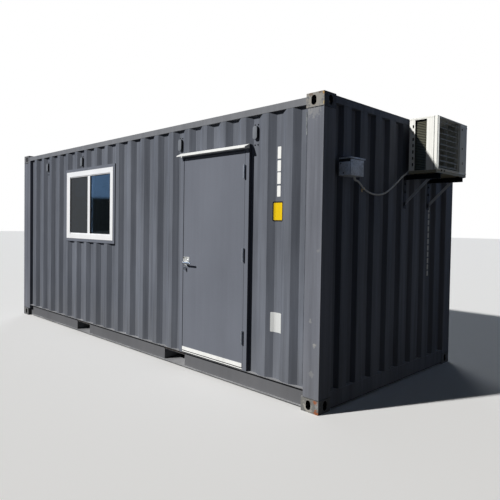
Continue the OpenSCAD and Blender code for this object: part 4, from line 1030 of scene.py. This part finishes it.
CONDUIT_ROUTE = [
    (3.1002, -0.87, 1.9086), (3.0972, -0.8587, 1.9059), (3.088, -0.807, 1.901), (3.062, -0.721, 1.879),
    (3.042, -0.658, 1.86), (3.037, -0.639, 1.854), (3.038, -0.618, 1.845), (3.041, -0.587, 1.832),
    (3.045, -0.512, 1.815), (3.05, -0.419, 1.812), (3.054, -0.322, 1.828), (3.056, -0.22, 1.871),
    (3.058, -0.115, 1.932), (3.059, -0.006, 2.001), (3.06, 0.0939, 2.0517), (3.06, 0.1046, 2.0571),
]


def make_conduit():
    tube = ribbed_tube("conduit_ribbed", CONDUIT_ROUTE, radius=0.008, rib=0.0011, pitch=0.0042)
    keep(tube, "conduit_ribbed", conduit_plastic, smooth=20)
    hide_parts("conduit")


def make_switch_box():
    """The box on the end wall: a cast body, a seal, a front cover and a lid that overhangs a neck, which is
    made black as painted shade.
    """
    back, seal, cover, lid = 3.02, 3.126, 3.131, 3.145
    near, far, foot, shoulder, neck, top = -0.989, -0.8, 1.937, 2.05, 2.074, 2.086
    body = rounded_plate((back, near, foot), (seal, far, shoulder), 0.004, thin="X", ease=0.001)
    keep(body, "box_body", box_zinc)
    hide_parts("junction_box")
    # The second block fills the neck under the lid in black rubber, as painted shade under the overhang.
    seal_and_neck_shade = joined([
        block((seal, near + 0.004, foot + 0.004), (cover, far - 0.004, shoulder - 0.002)),
        block((back, near + 0.006, shoulder), (cover, far - 0.006, neck))])
    keep(seal_and_neck_shade, "box_gasket", rubber, smooth=0)
    face = cover + 0.006
    plate = rounded_plate((cover, near, foot), (face, far, neck - 0.004), 0.004, thin="X", ease=0.0015)
    keep(plate, "box_cover", box_zinc)
    hood = block((back, near - 0.002, neck), (lid, far + 0.013, top))
    open_edges(hood, lambda a, b: min(a.x, b.x) > cover and max(a.y, b.y) < near and upright("Z")(a, b))
    ops.mesh.bevel(offset=0.014, segments=1, affect="EDGES")
    close(hood)
    open_faces(hood, lambda c, n: n.z > 0.9)
    ops.mesh.bevel(offset=0.002, segments=2, affect="EDGES")
    keep(close(hood), "box_lid", box_zinc)
    heads = [(face, y, z) for y in (near + 0.012, far - 0.012) for z in (foot + 0.012, shoulder - 0.008)]
    keep(spread(turned(dome_rivet(0.004, 0.0025), 90), heads), "box_screws", zinc)
    plugs = [(3.037, near, 2.038), (3.066, near, 1.957)]
    keep(spread(dome_rivet(0.006, 0.002), plugs), "box_plugs", rubber)


make_ac_details()
make_bracket_bolts()
make_conduit()
make_switch_box()


# Stage and light
def set_stage():
    """A pale floor that keeps the shadow, and throws little light back."""
    deselect()
    ops.mesh.primitive_plane_add(size=160, location=(0, 0, 0))
    floor = bpy.context.object
    floor.name = "floor"
    made, tree, shader = finish_named("pale_floor")
    path = put(tree, "LightPath").outputs
    shade = blend(tree, path["Is Camera Ray"], (0.08, 0.08, 0.08, 1), (0.95, 0.95, 0.95, 1))
    tree.links.new(shade, shader["Base Color"])
    shader["Roughness"].default_value = 0.9
    shader["Specular IOR Level"].default_value = 0.1
    floor.data.materials.append(made)


def set_world():
    """A weak blue sky gives light, the camera sees white, and what mirrors sees sky over dark ground."""
    world = bpy.data.worlds.new("studio")
    bpy.context.scene.world = world
    world.use_nodes = True
    tree = world.node_tree
    soft = tree.nodes["Background"]
    soft.inputs["Color"].default_value = (0.78, 0.88, 1.0, 1)
    soft.inputs["Strength"].default_value = 0.028
    white = put(tree, "Background", {"Color": (1, 1, 1, 1), "Strength": 1.0})
    height = put(tree, "SeparateXYZ", {0: put(tree, "TexCoord").outputs["Generated"]}).outputs[2]
    mirrored = blend(tree, span(tree, height, 0.046, 0.052), (0.04, 0.045, 0.05, 1), (0.36, 0.56, 0.95, 1))
    sky = put(tree, "Background", {"Color": mirrored, "Strength": 1.0})
    path = put(tree, "LightPath").outputs
    mixed = put(tree, "MixShader", {0: path["Is Glossy Ray"], 1: soft.outputs[0], 2: sky.outputs[0]})
    mixed = put(tree, "MixShader", {0: path["Is Camera Ray"], 1: mixed.outputs[0], 2: white.outputs[0]})
    tree.links.new(mixed.outputs[0], tree.nodes["World Output"].inputs["Surface"])


def add_lamp(name, kind, energy, tint, travel, up="Y"):
    """A lamp whose light travels along a direction."""
    data = bpy.data.lights.new(name, kind)
    data.energy = energy
    data.color = tint
    lamp = bpy.data.objects.new(name, data)
    bpy.context.scene.collection.objects.link(lamp)
    lamp.rotation_euler = Vector(travel).to_track_quat("-Z", up).to_euler()
    return lamp


def set_light():
    """A sun, a soft fill from behind, and the light that sunlit ground throws back on the end wall."""
    bpy.context.scene.view_settings.view_transform = "Standard"
    set_world()
    key = add_lamp("key", "SUN", 4.0, (1.0, 0.985, 0.955), (0.37, 0.757, -0.529))
    key.data.angle = math.radians(2.0)
    fill = add_lamp("back_fill", "SUN", 1.0, (0.9, 0.95, 1.0), (0.72, -0.65, -0.25))
    fill.data.angle = math.radians(30)
    glow = add_lamp("ground_glow", "AREA", 3.2, (1.0, 0.97, 0.92), (-1, 0, 0), up="Z")
    glow.data.shape, glow.data.size, glow.data.size_y = "RECTANGLE", 3.0, 0.4
    glow.location = (5.0, 0, 0.85)
    glow.visible_camera = glow.visible_glossy = glow.visible_transmission = False
    lit = bpy.data.collections.new("glow_receivers")
    for piece in bpy.data.objects:
        if piece.type == "MESH" and piece.name != "floor":
            lit.objects.link(piece)
    glow.light_linking.receiver_collection = lit


set_stage()
set_light()
